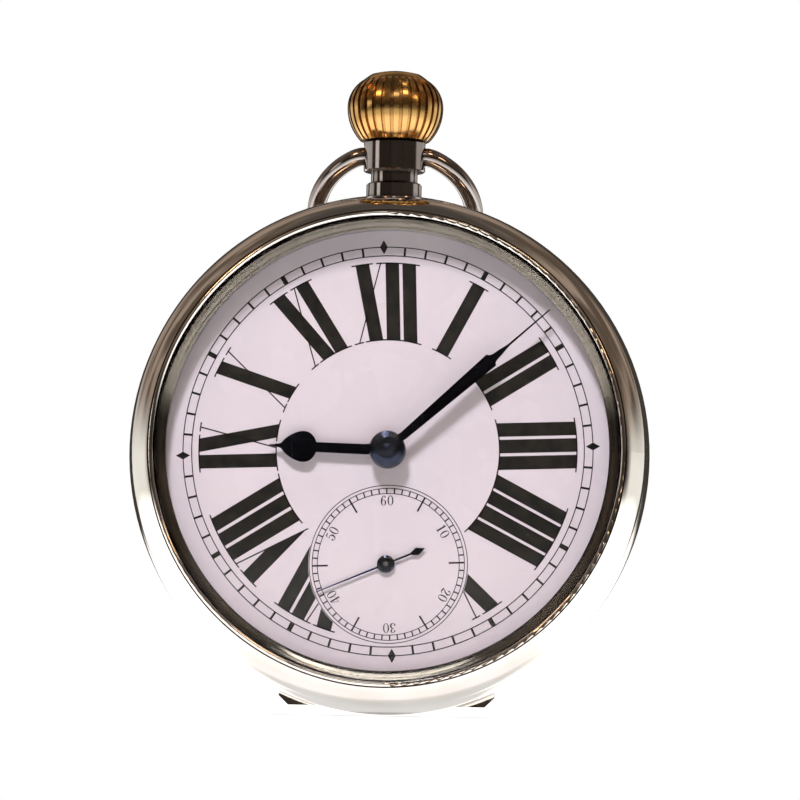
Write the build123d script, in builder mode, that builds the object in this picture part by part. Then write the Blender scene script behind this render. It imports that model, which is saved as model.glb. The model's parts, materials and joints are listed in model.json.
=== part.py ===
from build123d import *
import os
from math import asin, atan2, cos, degrees, hypot, pi, radians, sin, sqrt

os.makedirs("parts", exist_ok=True)

# Open-face keyless pocket watch, millimetres. The watch stands upright: +Z runs to the crown at
# 12 o'clock, the dial faces -Y, and the origin is the centre of the flat of the back cover.
# "Height" below always means the distance in front of that flat, so a height h lies at Y = -h.

# ---- case ----
case_radius = 33.0
band_edge_radius = 32.5
band_back = 3.0
band_front = 11.0
shoulder_radius = 30.6
shoulder_front = 12.2
dial_well_radius = 28.6
movement_well_radius = 26.65
ledge_height = 9.0
dust_rebate_radius = 29.3
dust_rebate_height = 3.6
back_flat_radius = 20.0
cover_skin = 0.7
bezel_front = 17.0
bezel_groove_radius = 30.2
bezel_inner_radius = 27.9
glass_radius = 29.6
glass_seat_radius = 29.3
lip_radius = 29.45
rehaut_foot = 14.75
glass_seat_height = 15.95
glass_edge_thickness = 0.7
glass_rise = 3.6
glass_thickness = 1.0
hinge_z = -30.7
hinge_height = 1.95
hinge_tube_radius = 0.95
hinge_length = 27.4
hinge_bevel = 1.3
knuckle_gap = 0.08
hinge_pin_radius = 0.4
hinge_pin_inset = 1.2
hinge_pin_fit = 0.02
hinge_root = (0.7, 2.2)
hinge_arm = (1.0, 3.0)
hinge_notch_top = -28.3
dust_notch_top = -28.2
lip_break = 0.05
lip_rise = 0.14
bezel_bulge = (31.95, 14.6)
bezel_fit = 0.05
glass_fit = 0.02
dial_clearance = 0.12
groove_depth = 0.3
groove_width = 0.15
case_screw_circle = 25.4
case_screw_pocket = 1.75

# ---- covers at the back ----
cover_rim_inset = 0.3
cover_rim_height = 2.35
cover_knee = (27.2, 0.75)
cover_lip_radius = 31.0
cover_inner_rim = (30.3, 2.72)
cover_inner_knee = (26.0, 1.42)
cover_fit = 0.04
dust_back = 1.6
dust_front = 3.5
dust_skin = 0.5
dust_flat_radius = 23.0
dust_radius = 28.9
dust_rim_radius = 28.2

# ---- pendant, bow and crown ----
stem_height = 7.0
flange_radius = 3.52
flange_top = 34.6
neck_radius = 2.97
neck_top = 36.1
sleeve_radius = 3.92
pendant_top = 40.0
pendant_bore = 1.25
pendant_root = 31.0
flange_break = 0.2
sleeve_break = 0.25
bow_recess_clearance = 0.25
bow_recess_x = 2.95
bow_pivot_z = 38.1
bow_wire_radius = 1.17
bow_loop_radius = 10.1
bow_flare_radius = 3.0
bow_end_x = 3.05
bow_flare_start_x = 3.6
bow_rest_angle = 42.0
bow_pin_radius = 0.4
bow_pin_fit = 0.01
bow_hole_fit = 0.04
bow_pin_start_x = 1.5
bow_pin_end_x = 4.4
bow_hole_end_x = 4.6
crown_radius = 6.1
crown_bottom_radius = 4.4
crown_cap_radius = 3.1
crown_widest_z = 44.1
crown_top = 49.1
crown_ribs = 32
rib_depth = 0.3
crown_gap = 0.06

# ---- movement levels, as heights ----
bridge_back = 3.4
bridge_front = 4.9
winding_recess = 4.25
plate_back = 7.0
plate_front = 10.2
under_dial_floor = 9.55
plate_radius = 26.5
plate_flange_radius = 28.3
bridge_radius = 26.0
bridge_foot_radius = 22.3
dial_back = 11.6
dial_front = 12.4
dial_radius = 28.4
wheel_thickness = 0.35
jewel_front = 9.3
jewel_thickness = 0.7
jewel_radius = 0.8
cock_head_radius = 3.4
cock_foot_radius = 3.3

# ---- gearing: tooth counts and modules ----
barrel_teeth = 84
centre_leaves = 12
barrel_module = 10.0 * 2 / barrel_teeth
centre_teeth = 80
third_leaves = 10
centre_module = 0.2
third_teeth = 75
fourth_leaves = 10
third_module = 0.18
fourth_teeth = 80
escape_leaves = 8
fourth_module = 0.17
cannon_leaves = 12
minute_teeth = 36
cannon_module = 0.25
minute_leaves = 10
hour_teeth = 40
hour_module = cannon_module * (cannon_leaves + minute_teeth) / (minute_leaves + hour_teeth)
winding_module = 0.33
winding_leaves = 18
crown_wheel_teeth = 30
ratchet_teeth = 42
escape_teeth = 15
escape_radius = 3.6

# Tooth shapes as (root depth, tip height, width at the pitch circle, width at the tip): depths in
# modules, widths as parts of the pitch.
wheel_tooth = (1.15, 0.9, 0.42, 0.12)
pinion_leaf = (1.25, 0.7, 0.30, 0.14)
winding_tooth = (1.2, 0.8, 0.38, 0.16)

# ---- hands ----
hour_angle = 271.8
minute_angle = 48.3
seconds_angle = 247.2
hour_hand_height = 13.15
minute_hand_height = 14.3
seconds_hand_height = 12.7
hand_boss_radius = 2.3
minute_length = 27.0
hour_length = 14.9


def circles_meet(a, a_distance, b, b_distance, side):
    """Point at the given distances from a and b; side +1 is to the left of the line from a to b."""
    span = hypot(b[0] - a[0], b[1] - a[1])
    along = (a_distance**2 - b_distance**2 + span**2) / (2 * span)
    across = side * sqrt(a_distance**2 - along**2)
    ux = (b[0] - a[0]) / span
    uz = (b[1] - a[1]) / span
    return (a[0] + along * ux - across * uz, a[1] + along * uz + across * ux)


def direction(a, b):
    """Angle of the line from a to b, anticlockwise as the dial is seen."""
    return atan2(b[1] - a[1], b[0] - a[0])


def polar(radius, angle):
    """Point at an angle in degrees, anticlockwise from 3 o'clock."""
    return (radius * cos(radians(angle)), radius * sin(radians(angle)))


def towards(a, b, distance):
    """Point on the line from a to b, this far from a."""
    angle = direction(a, b)
    return (a[0] + distance * cos(angle), a[1] + distance * sin(angle))


# ---- places of the axes, as (x, z) ----
centre = (0.0, 0.0)
fourth = (0.0, -14.3)
crown_wheel_at = (0.0, 16.0)
centre_to_barrel = barrel_module * (barrel_teeth + centre_leaves) / 2
crown_to_ratchet = winding_module * (crown_wheel_teeth + ratchet_teeth) / 2
barrel_at = circles_meet(centre, centre_to_barrel, crown_wheel_at, crown_to_ratchet, -1)
centre_to_third = centre_module * (centre_teeth + third_leaves) / 2
third_to_fourth = third_module * (third_teeth + fourth_leaves) / 2
third = circles_meet(centre, centre_to_third, fourth, third_to_fourth, -1)
fourth_to_escape = fourth_module * (fourth_teeth + escape_leaves) / 2
escape = (fourth[0] + polar(fourth_to_escape, -25)[0], fourth[1] + polar(fourth_to_escape, -25)[1])
balance = (13.0, -11.0)
escape_to_pallet = escape_radius / cos(radians(30))
pallet = towards(escape, balance, escape_to_pallet)
minute_wheel_at = polar(cannon_module * (cannon_leaves + minute_teeth) / 2, 108.8)
balance_sweep = 8.3
case_screws_at = [polar(case_screw_circle, angle) for angle in (35, 215)]


def level(height, at=(0.0, 0.0)):
    """Plane parallel to the dial at this height, facing forward, with its origin at (x, z)."""
    return Plane(origin=(at[0], -height, at[1]), x_dir=(1, 0, 0), z_dir=(0, -1, 0))


def front_axis(at=(0.0, 0.0)):
    """Axis that runs from the back to the front through (x, z)."""
    return Axis((at[0], 0, at[1]), (0, -1, 0))


stem_axis = Axis((0, -stem_height, 0), (0, 0, 1))
stem_section = Plane.XZ.offset(stem_height)


def outline_face(plane, points):
    """Face inside a closed line of points."""
    with BuildSketch(plane) as outline:
        with BuildLine():
            Polyline(*points, close=True)
        make_face()
    return outline.sketch


def turned(points, at=(0.0, 0.0)):
    """Half section, as (radius, height) points, of a piece turned about a front-to-back axis."""
    return outline_face(Plane(origin=(at[0], 0, at[1]), x_dir=(1, 0, 0), z_dir=(0, 0, -1)), points)


def disc(height, radius, at=(0.0, 0.0), hole=0.0):
    """Round face at this height, with an optional round hole."""
    with BuildSketch(level(height, at)) as round_face:
        Circle(radius)
        if hole > 0:
            Circle(hole, mode=Mode.SUBTRACT)
    return round_face.sketch


def shaft_points(start, *steps):
    """Half section of a stepped shaft, from (radius, end height) steps."""
    points = [(0, start)]
    height = start
    for radius, end in steps:
        points.append((radius, height))
        points.append((radius, end))
        height = end
    points.append((0, height))
    return points


def gear_points(teeth, module, shape, phase):
    """Corners of a toothed disc; phase is the angle of one tooth, in radians."""
    root, tip, foot, crest = shape
    pitch_radius = teeth * module / 2
    pitch_angle = 2 * pi / teeth
    rings = [(pitch_radius - root * module, foot), (pitch_radius, foot), (pitch_radius + tip * module, crest)]
    rising = [(radius, -width / 2) for radius, width in rings]
    falling = [(radius, width / 2) for radius, width in reversed(rings)]
    points = []
    for tooth in range(teeth):
        for radius, offset in rising + falling:
            angle = phase + (tooth + offset) * pitch_angle
            points.append((radius * cos(angle), radius * sin(angle)))
    return points


def gear(height, at, teeth, module, shape, phase):
    """Toothed face at this height on the axis through (x, z)."""
    return outline_face(level(height, at), gear_points(teeth, module, shape, phase))


def meshed_phase(phase, teeth, angle, other_teeth):
    """Phase of a wheel that lies at this angle from a wheel of known phase and meshes with it."""
    past = (angle - phase) * teeth / (2 * pi)
    return angle + pi + (past + 0.5) * 2 * pi / other_teeth


def crossings(height, at, hub, rim, arms, arm_width):
    """The openings between the arms of a spoked wheel."""
    with BuildSketch(level(height, at)) as windows:
        Circle(rim)
        Circle(hub, mode=Mode.SUBTRACT)
        with PolarLocations(0, arms):
            Rectangle(2 * rim, arm_width, align=(Align.MIN, Align.CENTER), mode=Mode.SUBTRACT)
    return windows.sketch


def spiral(height, at, inner, outer, turns, thickness, start):
    """Flat coil of strip, wound evenly from the inner to the outer radius."""
    steps = int(turns * 24)
    near = []
    far = []
    for step in range(steps + 1):
        angle = start + 2 * pi * turns * step / steps
        radius = inner + (outer - inner) * step / steps
        near.append(((radius - thickness / 2) * cos(angle), (radius - thickness / 2) * sin(angle)))
        far.append(((radius + thickness / 2) * cos(angle), (radius + thickness / 2) * sin(angle)))
    return outline_face(level(height, at), near + far[::-1])


def screw_points(head_back, head_radius, head_front, shank_radius, shank_front):
    """Half section of a cheese-head screw that is driven from the back."""
    return shaft_points(head_back, (head_radius, head_front), (shank_radius, shank_front))


def cock_outline():
    """The long rounded outline from the balance's staff to the cock's foot."""
    with BuildSketch(level(cock_back)) as outline:
        with Locations(balance):
            Circle(cock_head_radius)
        with Locations(cock_foot):
            Circle(cock_foot_radius)
        make_hull()
    return outline.sketch


def screw_slot(height, at, head_radius, width, turn):
    """Slot across a screw head."""
    with BuildSketch(level(height, at)) as slot:
        Rectangle(2 * head_radius + 0.2, width, rotation=turn)
    return slot.sketch


# ============================ case ============================

with BuildPart() as case_middle:
    with BuildSketch(Plane(origin=(0, 0, 0), x_dir=(1, 0, 0), z_dir=(0, 0, -1))):
        with BuildLine():
            band_middle = (band_back + band_front) / 2
            ThreePointArc((band_edge_radius, band_back), (case_radius, band_middle), (band_edge_radius, band_front))
            Polyline(
                (band_edge_radius, band_front),
                (shoulder_radius, band_front),
                (shoulder_radius, shoulder_front),
                (dial_well_radius, shoulder_front),
                (dial_well_radius, ledge_height),
                (movement_well_radius, ledge_height),
                (movement_well_radius, dust_rebate_height),
                (dust_rebate_radius, dust_rebate_height),
                (dust_rebate_radius, band_back),
                (band_edge_radius, band_back),
            )
        make_face()
    revolve(axis=Axis.Y)
    with BuildSketch(Plane.XY.offset(movement_well_radius - 2)):
        with Locations((0, -stem_height)):
            Circle(pendant_bore)
    extrude(amount=case_radius, mode=Mode.SUBTRACT)
    for at in case_screws_at:
        extrude(disc(dust_rebate_height, case_screw_pocket, at), amount=plate_back - dust_rebate_height,
                mode=Mode.SUBTRACT)
case_middle.part.label = "case_middle"
export_step(case_middle.part, "parts/case_middle.step")

with BuildPart() as pendant:
    with BuildSketch(stem_section):
        with BuildLine():
            Polyline(
                (pendant_bore, pendant_root),
                (flange_radius, pendant_root),
                (flange_radius, flange_top - flange_break),
                (flange_radius - flange_break, flange_top),
                (neck_radius, flange_top),
                (neck_radius, neck_top),
                (sleeve_radius - 0.15, neck_top),
                (sleeve_radius, neck_top + 0.15),
                (sleeve_radius, pendant_top - sleeve_break),
                (sleeve_radius - sleeve_break, pendant_top),
                (pendant_bore, pendant_top),
                close=True,
            )
        make_face()
    revolve(axis=stem_axis)
    add(case_middle.part, mode=Mode.SUBTRACT)
    for side in (1, -1):
        with BuildSketch(Plane.YZ.offset(side * bow_recess_x)):
            with Locations((-stem_height, bow_pivot_z)):
                Circle(bow_wire_radius + bow_recess_clearance)
        extrude(amount=side * sleeve_radius, mode=Mode.SUBTRACT)
        with BuildSketch(Plane.YZ.offset(side * bow_pin_start_x)):
            with Locations((-stem_height, bow_pivot_z)):
                Circle(bow_pin_radius + bow_pin_fit)
        extrude(amount=side * sleeve_radius, mode=Mode.SUBTRACT)
pendant.part.label = "pendant"
export_step(pendant.part, "parts/pendant.step")

with BuildPart() as bow_pins:
    for side in (1, -1):
        with BuildSketch(Plane.YZ.offset(side * bow_pin_start_x)):
            with Locations((-stem_height, bow_pivot_z)):
                Circle(bow_pin_radius)
        extrude(amount=side * (bow_pin_end_x - bow_pin_start_x))
bow_pins.part.label = "bow_pins"
export_step(bow_pins.part, "parts/bow_pins.step")

# The bow lies in a plane through its pivots, folded back and down behind the case. Its wire is two
# short flares that leave the pendant square to its sides, joined by one nearly round loop.
bow_plane = Plane(
    origin=(0, -stem_height, bow_pivot_z),
    x_dir=(1, 0, 0),
    z_dir=(0, cos(radians(bow_rest_angle)), sin(radians(bow_rest_angle))),
)
flare_turn = degrees(asin(bow_flare_start_x / (bow_loop_radius - bow_flare_radius)))
with BuildPart() as bow:
    with BuildLine(bow_plane) as bow_line:
        lead = Line((bow_end_x, 0), (bow_flare_start_x, 0))
        flare = JernArc(lead @ 1, lead % 1, bow_flare_radius, flare_turn)
        loop = JernArc(flare @ 1, flare % 1, bow_loop_radius, 180 - flare_turn)
    with BuildSketch(Plane(origin=lead @ 0, z_dir=(1, 0, 0))):
        Circle(bow_wire_radius)
    sweep()
    mirror(about=Plane.YZ)
    for side in (1, -1):
        with BuildSketch(Plane.YZ.offset(side * bow_hole_end_x)):
            with Locations((-stem_height, bow_pivot_z)):
                Circle(bow_pin_radius + bow_hole_fit)
        extrude(amount=-side * bow_hole_end_x, mode=Mode.SUBTRACT)
bow.part.label = "bow"
export_step(bow.part, "parts/bow.step")

with BuildPart() as case_hinge:
    # Three knuckles at the back of the band, the outer two bevelled where they leave the rim.
    knuckle_length = hinge_length / 5
    for place in (-2, 0, 2):
        with BuildSketch(Plane.YZ.offset(place * knuckle_length - (knuckle_length - knuckle_gap) / 2)):
            with Locations((-hinge_height, hinge_z)):
                Circle(hinge_tube_radius)
            with Locations((-(hinge_height + band_back) / 2, hinge_z)):
                Rectangle(band_back - hinge_height, 2 * hinge_tube_radius)
            with Locations((-band_back + hinge_root[0] / 2, hinge_z + hinge_root[1] / 2)):
                Rectangle(*hinge_root)
        extrude(amount=knuckle_length - knuckle_gap)
    for side in (1, -1):
        bevel_corner = (side * hinge_length / 2, hinge_z - hinge_tube_radius - 0.1)
        wedge = outline_face(Plane.XZ, [
            bevel_corner,
            (bevel_corner[0] - side * hinge_bevel, bevel_corner[1]),
            (bevel_corner[0], bevel_corner[1] + hinge_bevel),
        ])
        extrude(wedge, amount=band_back + 0.1, mode=Mode.SUBTRACT)
    with BuildSketch(Plane.YZ.offset(-hinge_length)):
        with Locations((-hinge_height, hinge_z)):
            Circle(hinge_pin_radius + hinge_pin_fit)
    extrude(amount=2 * hinge_length, mode=Mode.SUBTRACT)
case_hinge.part.label = "case_hinge"
export_step(case_hinge.part, "parts/case_hinge.step")

with BuildPart() as hinge_pin:
    with BuildSketch(Plane.YZ.offset(-hinge_length / 2 + hinge_pin_inset)):
        with Locations((-hinge_height, hinge_z)):
            Circle(hinge_pin_radius)
    extrude(amount=hinge_length - 2 * hinge_pin_inset)
hinge_pin.part.label = "hinge_pin"
export_step(hinge_pin.part, "parts/hinge_pin.step")

with BuildPart() as back_cover:
    # A flat middle, a shallow dome to the rim, and a snap lip that springs into the band.
    rim = band_edge_radius - cover_rim_inset
    with BuildSketch(Plane(origin=(0, 0, 0), x_dir=(1, 0, 0), z_dir=(0, 0, -1))):
        with BuildLine():
            Line((0, 0), (back_flat_radius, 0))
            ThreePointArc((back_flat_radius, 0), cover_knee, (rim, cover_rim_height))
            Polyline(
                (rim, cover_rim_height),
                (rim, band_back - cover_fit),
                (cover_lip_radius, band_back - cover_fit),
                cover_inner_rim,
            )
            ThreePointArc(cover_inner_rim, cover_inner_knee, (back_flat_radius, cover_skin))
            Polyline((back_flat_radius, cover_skin), (0, cover_skin), (0, 0))
        make_face()
    revolve(axis=Axis.Y)
    with BuildSketch(Plane.XZ.offset(-1)):
        with Locations((0, hinge_notch_top)):
            Rectangle(2 * case_radius, case_radius, align=(Align.CENTER, Align.MAX))
    extrude(amount=band_back + 2, mode=Mode.SUBTRACT)
    for place in (-1, 1):
        with BuildSketch(Plane.YZ.offset(place * knuckle_length - (knuckle_length - knuckle_gap) / 2)):
            with Locations((-hinge_height, hinge_z)):
                Circle(hinge_tube_radius)
            with Locations((-hinge_height + 0.1, hinge_z + hinge_arm[1] / 2)):
                Rectangle(*hinge_arm)
        extrude(amount=knuckle_length - knuckle_gap)
        with BuildSketch(Plane.YZ.offset(place * knuckle_length - knuckle_length)):
            with Locations((-hinge_height, hinge_z)):
                Circle(hinge_pin_radius + hinge_pin_fit)
        extrude(amount=2 * knuckle_length, mode=Mode.SUBTRACT)
back_cover.part.label = "back_cover"
export_step(back_cover.part, "parts/back_cover.step")

with BuildPart() as dust_cover:
    revolve(turned([
        (0, dust_back),
        (dust_flat_radius, dust_back),
        (dust_radius, dust_front - dust_skin),
        (dust_radius, dust_front),
        (dust_rim_radius, dust_front),
        (dust_flat_radius - 0.1, dust_back + dust_skin),
        (0, dust_back + dust_skin),
    ]), axis=front_axis())
    with BuildSketch(level(0)):
        with Locations((0, dust_notch_top)):
            Rectangle(24, dust_radius, align=(Align.CENTER, Align.MAX))
    extrude(amount=band_front, mode=Mode.SUBTRACT)
dust_cover.part.label = "dust_cover"
export_step(dust_cover.part, "parts/dust_cover.step")

lip_start = (bezel_groove_radius - groove_width - 0.03, bezel_front + 0.02)
with BuildPart() as bezel:
    with BuildSketch(Plane(origin=(0, 0, 0), x_dir=(1, 0, 0), z_dir=(0, 0, -1))):
        with BuildLine():
            ThreePointArc(
                (band_edge_radius, band_front + bezel_fit), bezel_bulge, (bezel_groove_radius, bezel_front - lip_break)
            )
            Polyline(
                (bezel_groove_radius, bezel_front - lip_break),
                (bezel_groove_radius - 0.03, bezel_front - groove_depth),
                (bezel_groove_radius - groove_width, bezel_front - groove_depth),
                lip_start,
            )
            ThreePointArc(
                lip_start,
                ((lip_start[0] + lip_radius) / 2, bezel_front + lip_rise),
                (lip_radius, bezel_front - lip_break),
            )
            Polyline(
                (lip_radius, bezel_front - lip_break),
                (lip_radius, glass_seat_height + glass_edge_thickness + glass_fit),
                (glass_radius + glass_fit, glass_seat_height + glass_edge_thickness + glass_fit),
                (glass_radius + glass_fit, glass_seat_height),
                (glass_seat_radius, glass_seat_height),
            )
            ThreePointArc(
                (glass_seat_radius, glass_seat_height),
                ((glass_seat_radius + bezel_inner_radius) / 2 - 0.04, (glass_seat_height + rehaut_foot) / 2 + 0.04),
                (bezel_inner_radius, rehaut_foot),
            )
            Polyline(
                (bezel_inner_radius, rehaut_foot),
                (bezel_inner_radius, dial_front + dial_clearance),
                (shoulder_radius + bezel_fit, dial_front + dial_clearance),
                (shoulder_radius + bezel_fit, band_front + bezel_fit),
                (band_edge_radius, band_front + bezel_fit),
            )
        make_face()
    revolve(axis=Axis.Y)
bezel.part.label = "bezel"
export_step(bezel.part, "parts/bezel.step")

with BuildPart() as crystal:
    dome_radius = glass_radius - 0.3
    edge_top = glass_seat_height + glass_edge_thickness
    with BuildSketch(Plane(origin=(0, 0, 0), x_dir=(1, 0, 0), z_dir=(0, 0, -1))):
        with BuildLine():
            outer_sphere = (dome_radius**2 + glass_rise**2) / (2 * glass_rise)
            inner_radius = dome_radius - 0.8
            inner_rise = glass_rise - glass_thickness + glass_edge_thickness
            inner_sphere = (inner_radius**2 + inner_rise**2) / (2 * inner_rise)
            outer_half = dome_radius / 2
            outer_sag = sqrt(outer_sphere**2 - outer_half**2) - (outer_sphere - glass_rise)
            inner_half = inner_radius / 2
            inner_sag = sqrt(inner_sphere**2 - inner_half**2) - (inner_sphere - inner_rise)
            ThreePointArc((0, edge_top + glass_rise), (outer_half, edge_top + outer_sag), (dome_radius, edge_top))
            Polyline(
                (dome_radius, edge_top),
                (glass_radius, edge_top),
                (glass_radius, glass_seat_height),
                (inner_radius, glass_seat_height),
            )
            ThreePointArc(
                (inner_radius, glass_seat_height),
                (inner_half, glass_seat_height + inner_sag),
                (0, glass_seat_height + inner_rise),
            )
            Line((0, glass_seat_height + inner_rise), (0, edge_top + glass_rise))
        make_face()
    revolve(axis=Axis.Y)
crystal.part.label = "crystal"
export_step(crystal.part, "parts/crystal.step")

# ============================ crown and winding work ============================


def crown_profile(inset, end):
    """Half section of the onion crown on its stem section: its flank, drawn in by an inset, to an end point."""
    with BuildSketch(stem_section) as section:
        with BuildLine():
            low = (crown_bottom_radius - inset, pendant_top + crown_gap)
            wide = (crown_radius - inset, crown_widest_z)
            Line((0, pendant_top + crown_gap), low)
            ThreePointArc(low, (crown_radius - 0.4 - inset, crown_widest_z - 2.0), wide)
            ThreePointArc(wide, (crown_radius - 0.85 - inset, crown_widest_z + 2.75), end)
            Line(end, (0, end[1]))
            Line((0, end[1]), (0, pendant_top + crown_gap))
        make_face()
    return section.sketch


cap_base = crown_top - 0.5
with BuildPart() as rib:
    # One narrow rib of the crown: a few degrees of its full section, which dives in below the cap.
    revolve(crown_profile(0.0, (crown_cap_radius + 0.2, cap_base - 0.35)), axis=stem_axis,
            revolution_arc=360 / crown_ribs * 0.56)
    with BuildSketch(Plane.XY.offset(pendant_top)):
        with Locations((0, -stem_height)):
            Circle(crown_cap_radius - 0.5)
    extrude(amount=20, mode=Mode.SUBTRACT)

with BuildPart() as crown:
    # A smooth onion with a low domed cap and the ribs spaced evenly round it, bored for the stem.
    revolve(crown_profile(rib_depth, (crown_cap_radius, cap_base)), axis=stem_axis)
    with BuildSketch(stem_section):
        with BuildLine():
            Polyline((0, cap_base - 0.4), (crown_cap_radius, cap_base - 0.4), (crown_cap_radius, cap_base))
            ThreePointArc((crown_cap_radius, cap_base), (crown_cap_radius / 2, crown_top - 0.18), (0, crown_top))
            Line((0, crown_top), (0, cap_base - 0.4))
        make_face()
    revolve(axis=stem_axis)
    for index in range(crown_ribs):
        add(rib.part.rotate(stem_axis, index * 360 / crown_ribs))
    with BuildSketch(Plane.XY.offset(pendant_top)):
        with Locations((0, -stem_height)):
            Circle(0.92)
    extrude(amount=6.1, mode=Mode.SUBTRACT)
crown.part.label = "crown"
export_step(crown.part, "parts/crown.step")

with BuildPart() as winding_stem:
    with BuildSketch(stem_section):
        with BuildLine():
            Polyline(
                (0, 14.6),
                (0.5, 14.6),
                (0.5, 15.7),
                (0.72, 15.7),
                (0.72, 23.4),
                (0.95, 23.4),
                (0.95, 24.6),
                (0.6, 24.6),
                (0.6, 25.4),
                (0.95, 25.4),
                (0.95, pendant_top),
                (0.9, pendant_top),
                (0.9, 46.0),
                (0, 46.0),
                close=True,
            )
        make_face()
    revolve(axis=stem_axis)
winding_stem.part.label = "winding_stem"
export_step(winding_stem.part, "parts/winding_stem.step")

crown_phase = direction(crown_wheel_at, barrel_at)
ratchet_phase = meshed_phase(crown_phase, crown_wheel_teeth, crown_phase, ratchet_teeth)
# Where a crown wheel tooth lies beside the stem, the winding pinion has a gap, and the reverse.
past_tooth = (pi / 2 - crown_phase) * crown_wheel_teeth / (2 * pi)
pinion_phase = pi / 2 + (0.5 - past_tooth) * 2 * pi / winding_leaves


def across_stem(z):
    """Plane square to the stem at this z, seen from outside, with +X right and the back upward."""
    return Plane(origin=(0, -stem_height, z), x_dir=(1, 0, 0), z_dir=(0, 0, 1))


with BuildPart() as winding_pinion:
    pinion_face = outline_face(
        across_stem(20.6), gear_points(winding_leaves, winding_module, winding_tooth, pinion_phase)
    )
    extrude(pinion_face, amount=2.6)
    with BuildSketch(across_stem(20)):
        Circle(0.76)
    extrude(amount=4, mode=Mode.SUBTRACT)
winding_pinion.part.label = "winding_pinion"
export_step(winding_pinion.part, "parts/winding_pinion.step")

with BuildPart() as sliding_pinion:
    # A grooved sleeve with radial teeth on its inner end for the hand-setting wheel.
    with BuildSketch(stem_section):
        with BuildLine():
            Polyline(
                (0.76, 17.2),
                (1.95, 17.2),
                (1.95, 18.3),
                (1.3, 18.3),
                (1.3, 19.3),
                (1.95, 19.3),
                (1.95, 20.54),
                (0.76, 20.54),
                close=True,
            )
        make_face()
    revolve(axis=stem_axis)
    with BuildSketch(across_stem(17.2)):
        with PolarLocations(1.6, 12):
            Rectangle(1.0, 0.36)
    extrude(amount=0.45, mode=Mode.SUBTRACT)
sliding_pinion.part.label = "sliding_pinion"
export_step(sliding_pinion.part, "parts/sliding_pinion.step")

with BuildPart() as crown_wheel:
    extrude(gear(3.5, crown_wheel_at, crown_wheel_teeth, winding_module, winding_tooth, crown_phase), amount=0.7)
    extrude(disc(3.0, 1.6, crown_wheel_at), amount=2, mode=Mode.SUBTRACT)
    extrude(disc(3.5, 3.9, crown_wheel_at, 2.5), amount=0.12, mode=Mode.SUBTRACT)
crown_wheel.part.label = "crown_wheel"
export_step(crown_wheel.part, "parts/crown_wheel.step")

with BuildPart() as crown_wheel_screw:
    revolve(turned(shaft_points(3.05, (2.3, 3.45), (1.53, 4.25), (0.7, bridge_front)), crown_wheel_at),
            axis=front_axis(crown_wheel_at))
    extrude(screw_slot(3.05, crown_wheel_at, 2.3, 0.4, 30), amount=0.22, mode=Mode.SUBTRACT)
crown_wheel_screw.part.label = "crown_wheel_screw"
export_step(crown_wheel_screw.part, "parts/crown_wheel_screw.step")

with BuildPart() as ratchet_wheel:
    extrude(gear(3.5, barrel_at, ratchet_teeth, winding_module, winding_tooth, ratchet_phase), amount=0.7)
    with BuildSketch(level(3.0, barrel_at)):
        Rectangle(1.9, 1.9)
    extrude(amount=2, mode=Mode.SUBTRACT)
    extrude(disc(3.5, 5.6, barrel_at, 2.6), amount=0.12, mode=Mode.SUBTRACT)
ratchet_wheel.part.label = "ratchet_wheel"
export_step(ratchet_wheel.part, "parts/ratchet_wheel.step")

with BuildPart() as ratchet_screw:
    revolve(turned(shaft_points(3.1, (1.7, 3.49), (0.5, 5.2)), barrel_at), axis=front_axis(barrel_at))
    extrude(screw_slot(3.1, barrel_at, 1.7, 0.35, -20), amount=0.2, mode=Mode.SUBTRACT)
ratchet_screw.part.label = "ratchet_screw"
export_step(ratchet_screw.part, "parts/ratchet_screw.step")

with BuildPart() as barrel_arbor:
    with BuildSketch(level(3.52, barrel_at)):
        Rectangle(1.86, 1.86)
    extrude(amount=0.75)
    revolve(turned(shaft_points(4.27, (1.3, 6.25), (2.2, 8.0), (0.9, 10.0)), barrel_at),
            axis=front_axis(barrel_at))
    extrude(disc(3.4, 0.52, barrel_at), amount=1.85, mode=Mode.SUBTRACT)
barrel_arbor.part.label = "barrel_arbor"
export_step(barrel_arbor.part, "parts/barrel_arbor.step")

click_reach = 9.3
click_at = (barrel_at[0] + polar(click_reach, 62)[0], barrel_at[1] + polar(click_reach, 62)[1])
click_tip = (barrel_at[0] + polar(7.25, 88)[0], barrel_at[1] + polar(7.25, 88)[1])
click_tail = towards(click_tip, click_at, hypot(click_tip[0] - click_at[0], click_tip[1] - click_at[1]) + 2.2)
with BuildPart() as click:
    with BuildSketch(level(2.8)):
        with BuildLine():
            along = direction(click_tip, click_at)
            side_x = -sin(along)
            side_z = cos(along)
            Polyline(
                click_tip,
                (click_at[0] + 1.1 * side_x, click_at[1] + 1.1 * side_z),
                (click_tail[0] + 0.5 * side_x, click_tail[1] + 0.5 * side_z),
                (click_tail[0] - 0.5 * side_x, click_tail[1] - 0.5 * side_z),
                (click_at[0] - 1.1 * side_x, click_at[1] - 1.1 * side_z),
                close=True,
            )
        make_face()
        with Locations(click_at):
            Circle(1.35)
    extrude(amount=0.52)
    extrude(disc(2.0, 0.64, click_at), amount=3, mode=Mode.SUBTRACT)
click.part.label = "click"
export_step(click.part, "parts/click.step")

spring_foot = polar(23.0, 38)
with BuildPart() as click_spring:
    with BuildSketch(level(2.85)):
        with BuildLine():
            tail_gap = 1.5
            free_end = (click_tail[0] - tail_gap * side_x, click_tail[1] - tail_gap * side_z)
            spring_turn = (free_end[0] + 3.0 * cos(along), free_end[1] + 3.0 * sin(along))
            blade = FilletPolyline(free_end, spring_turn, spring_foot, radius=0.9)
            offset(amount=0.14)
        make_face()
        with Locations(spring_foot):
            Circle(0.9)
    extrude(amount=0.5)
click_spring.part.label = "click_spring"
export_step(click_spring.part, "parts/click_spring.step")

# ============================ plates and bridges ============================

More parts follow.
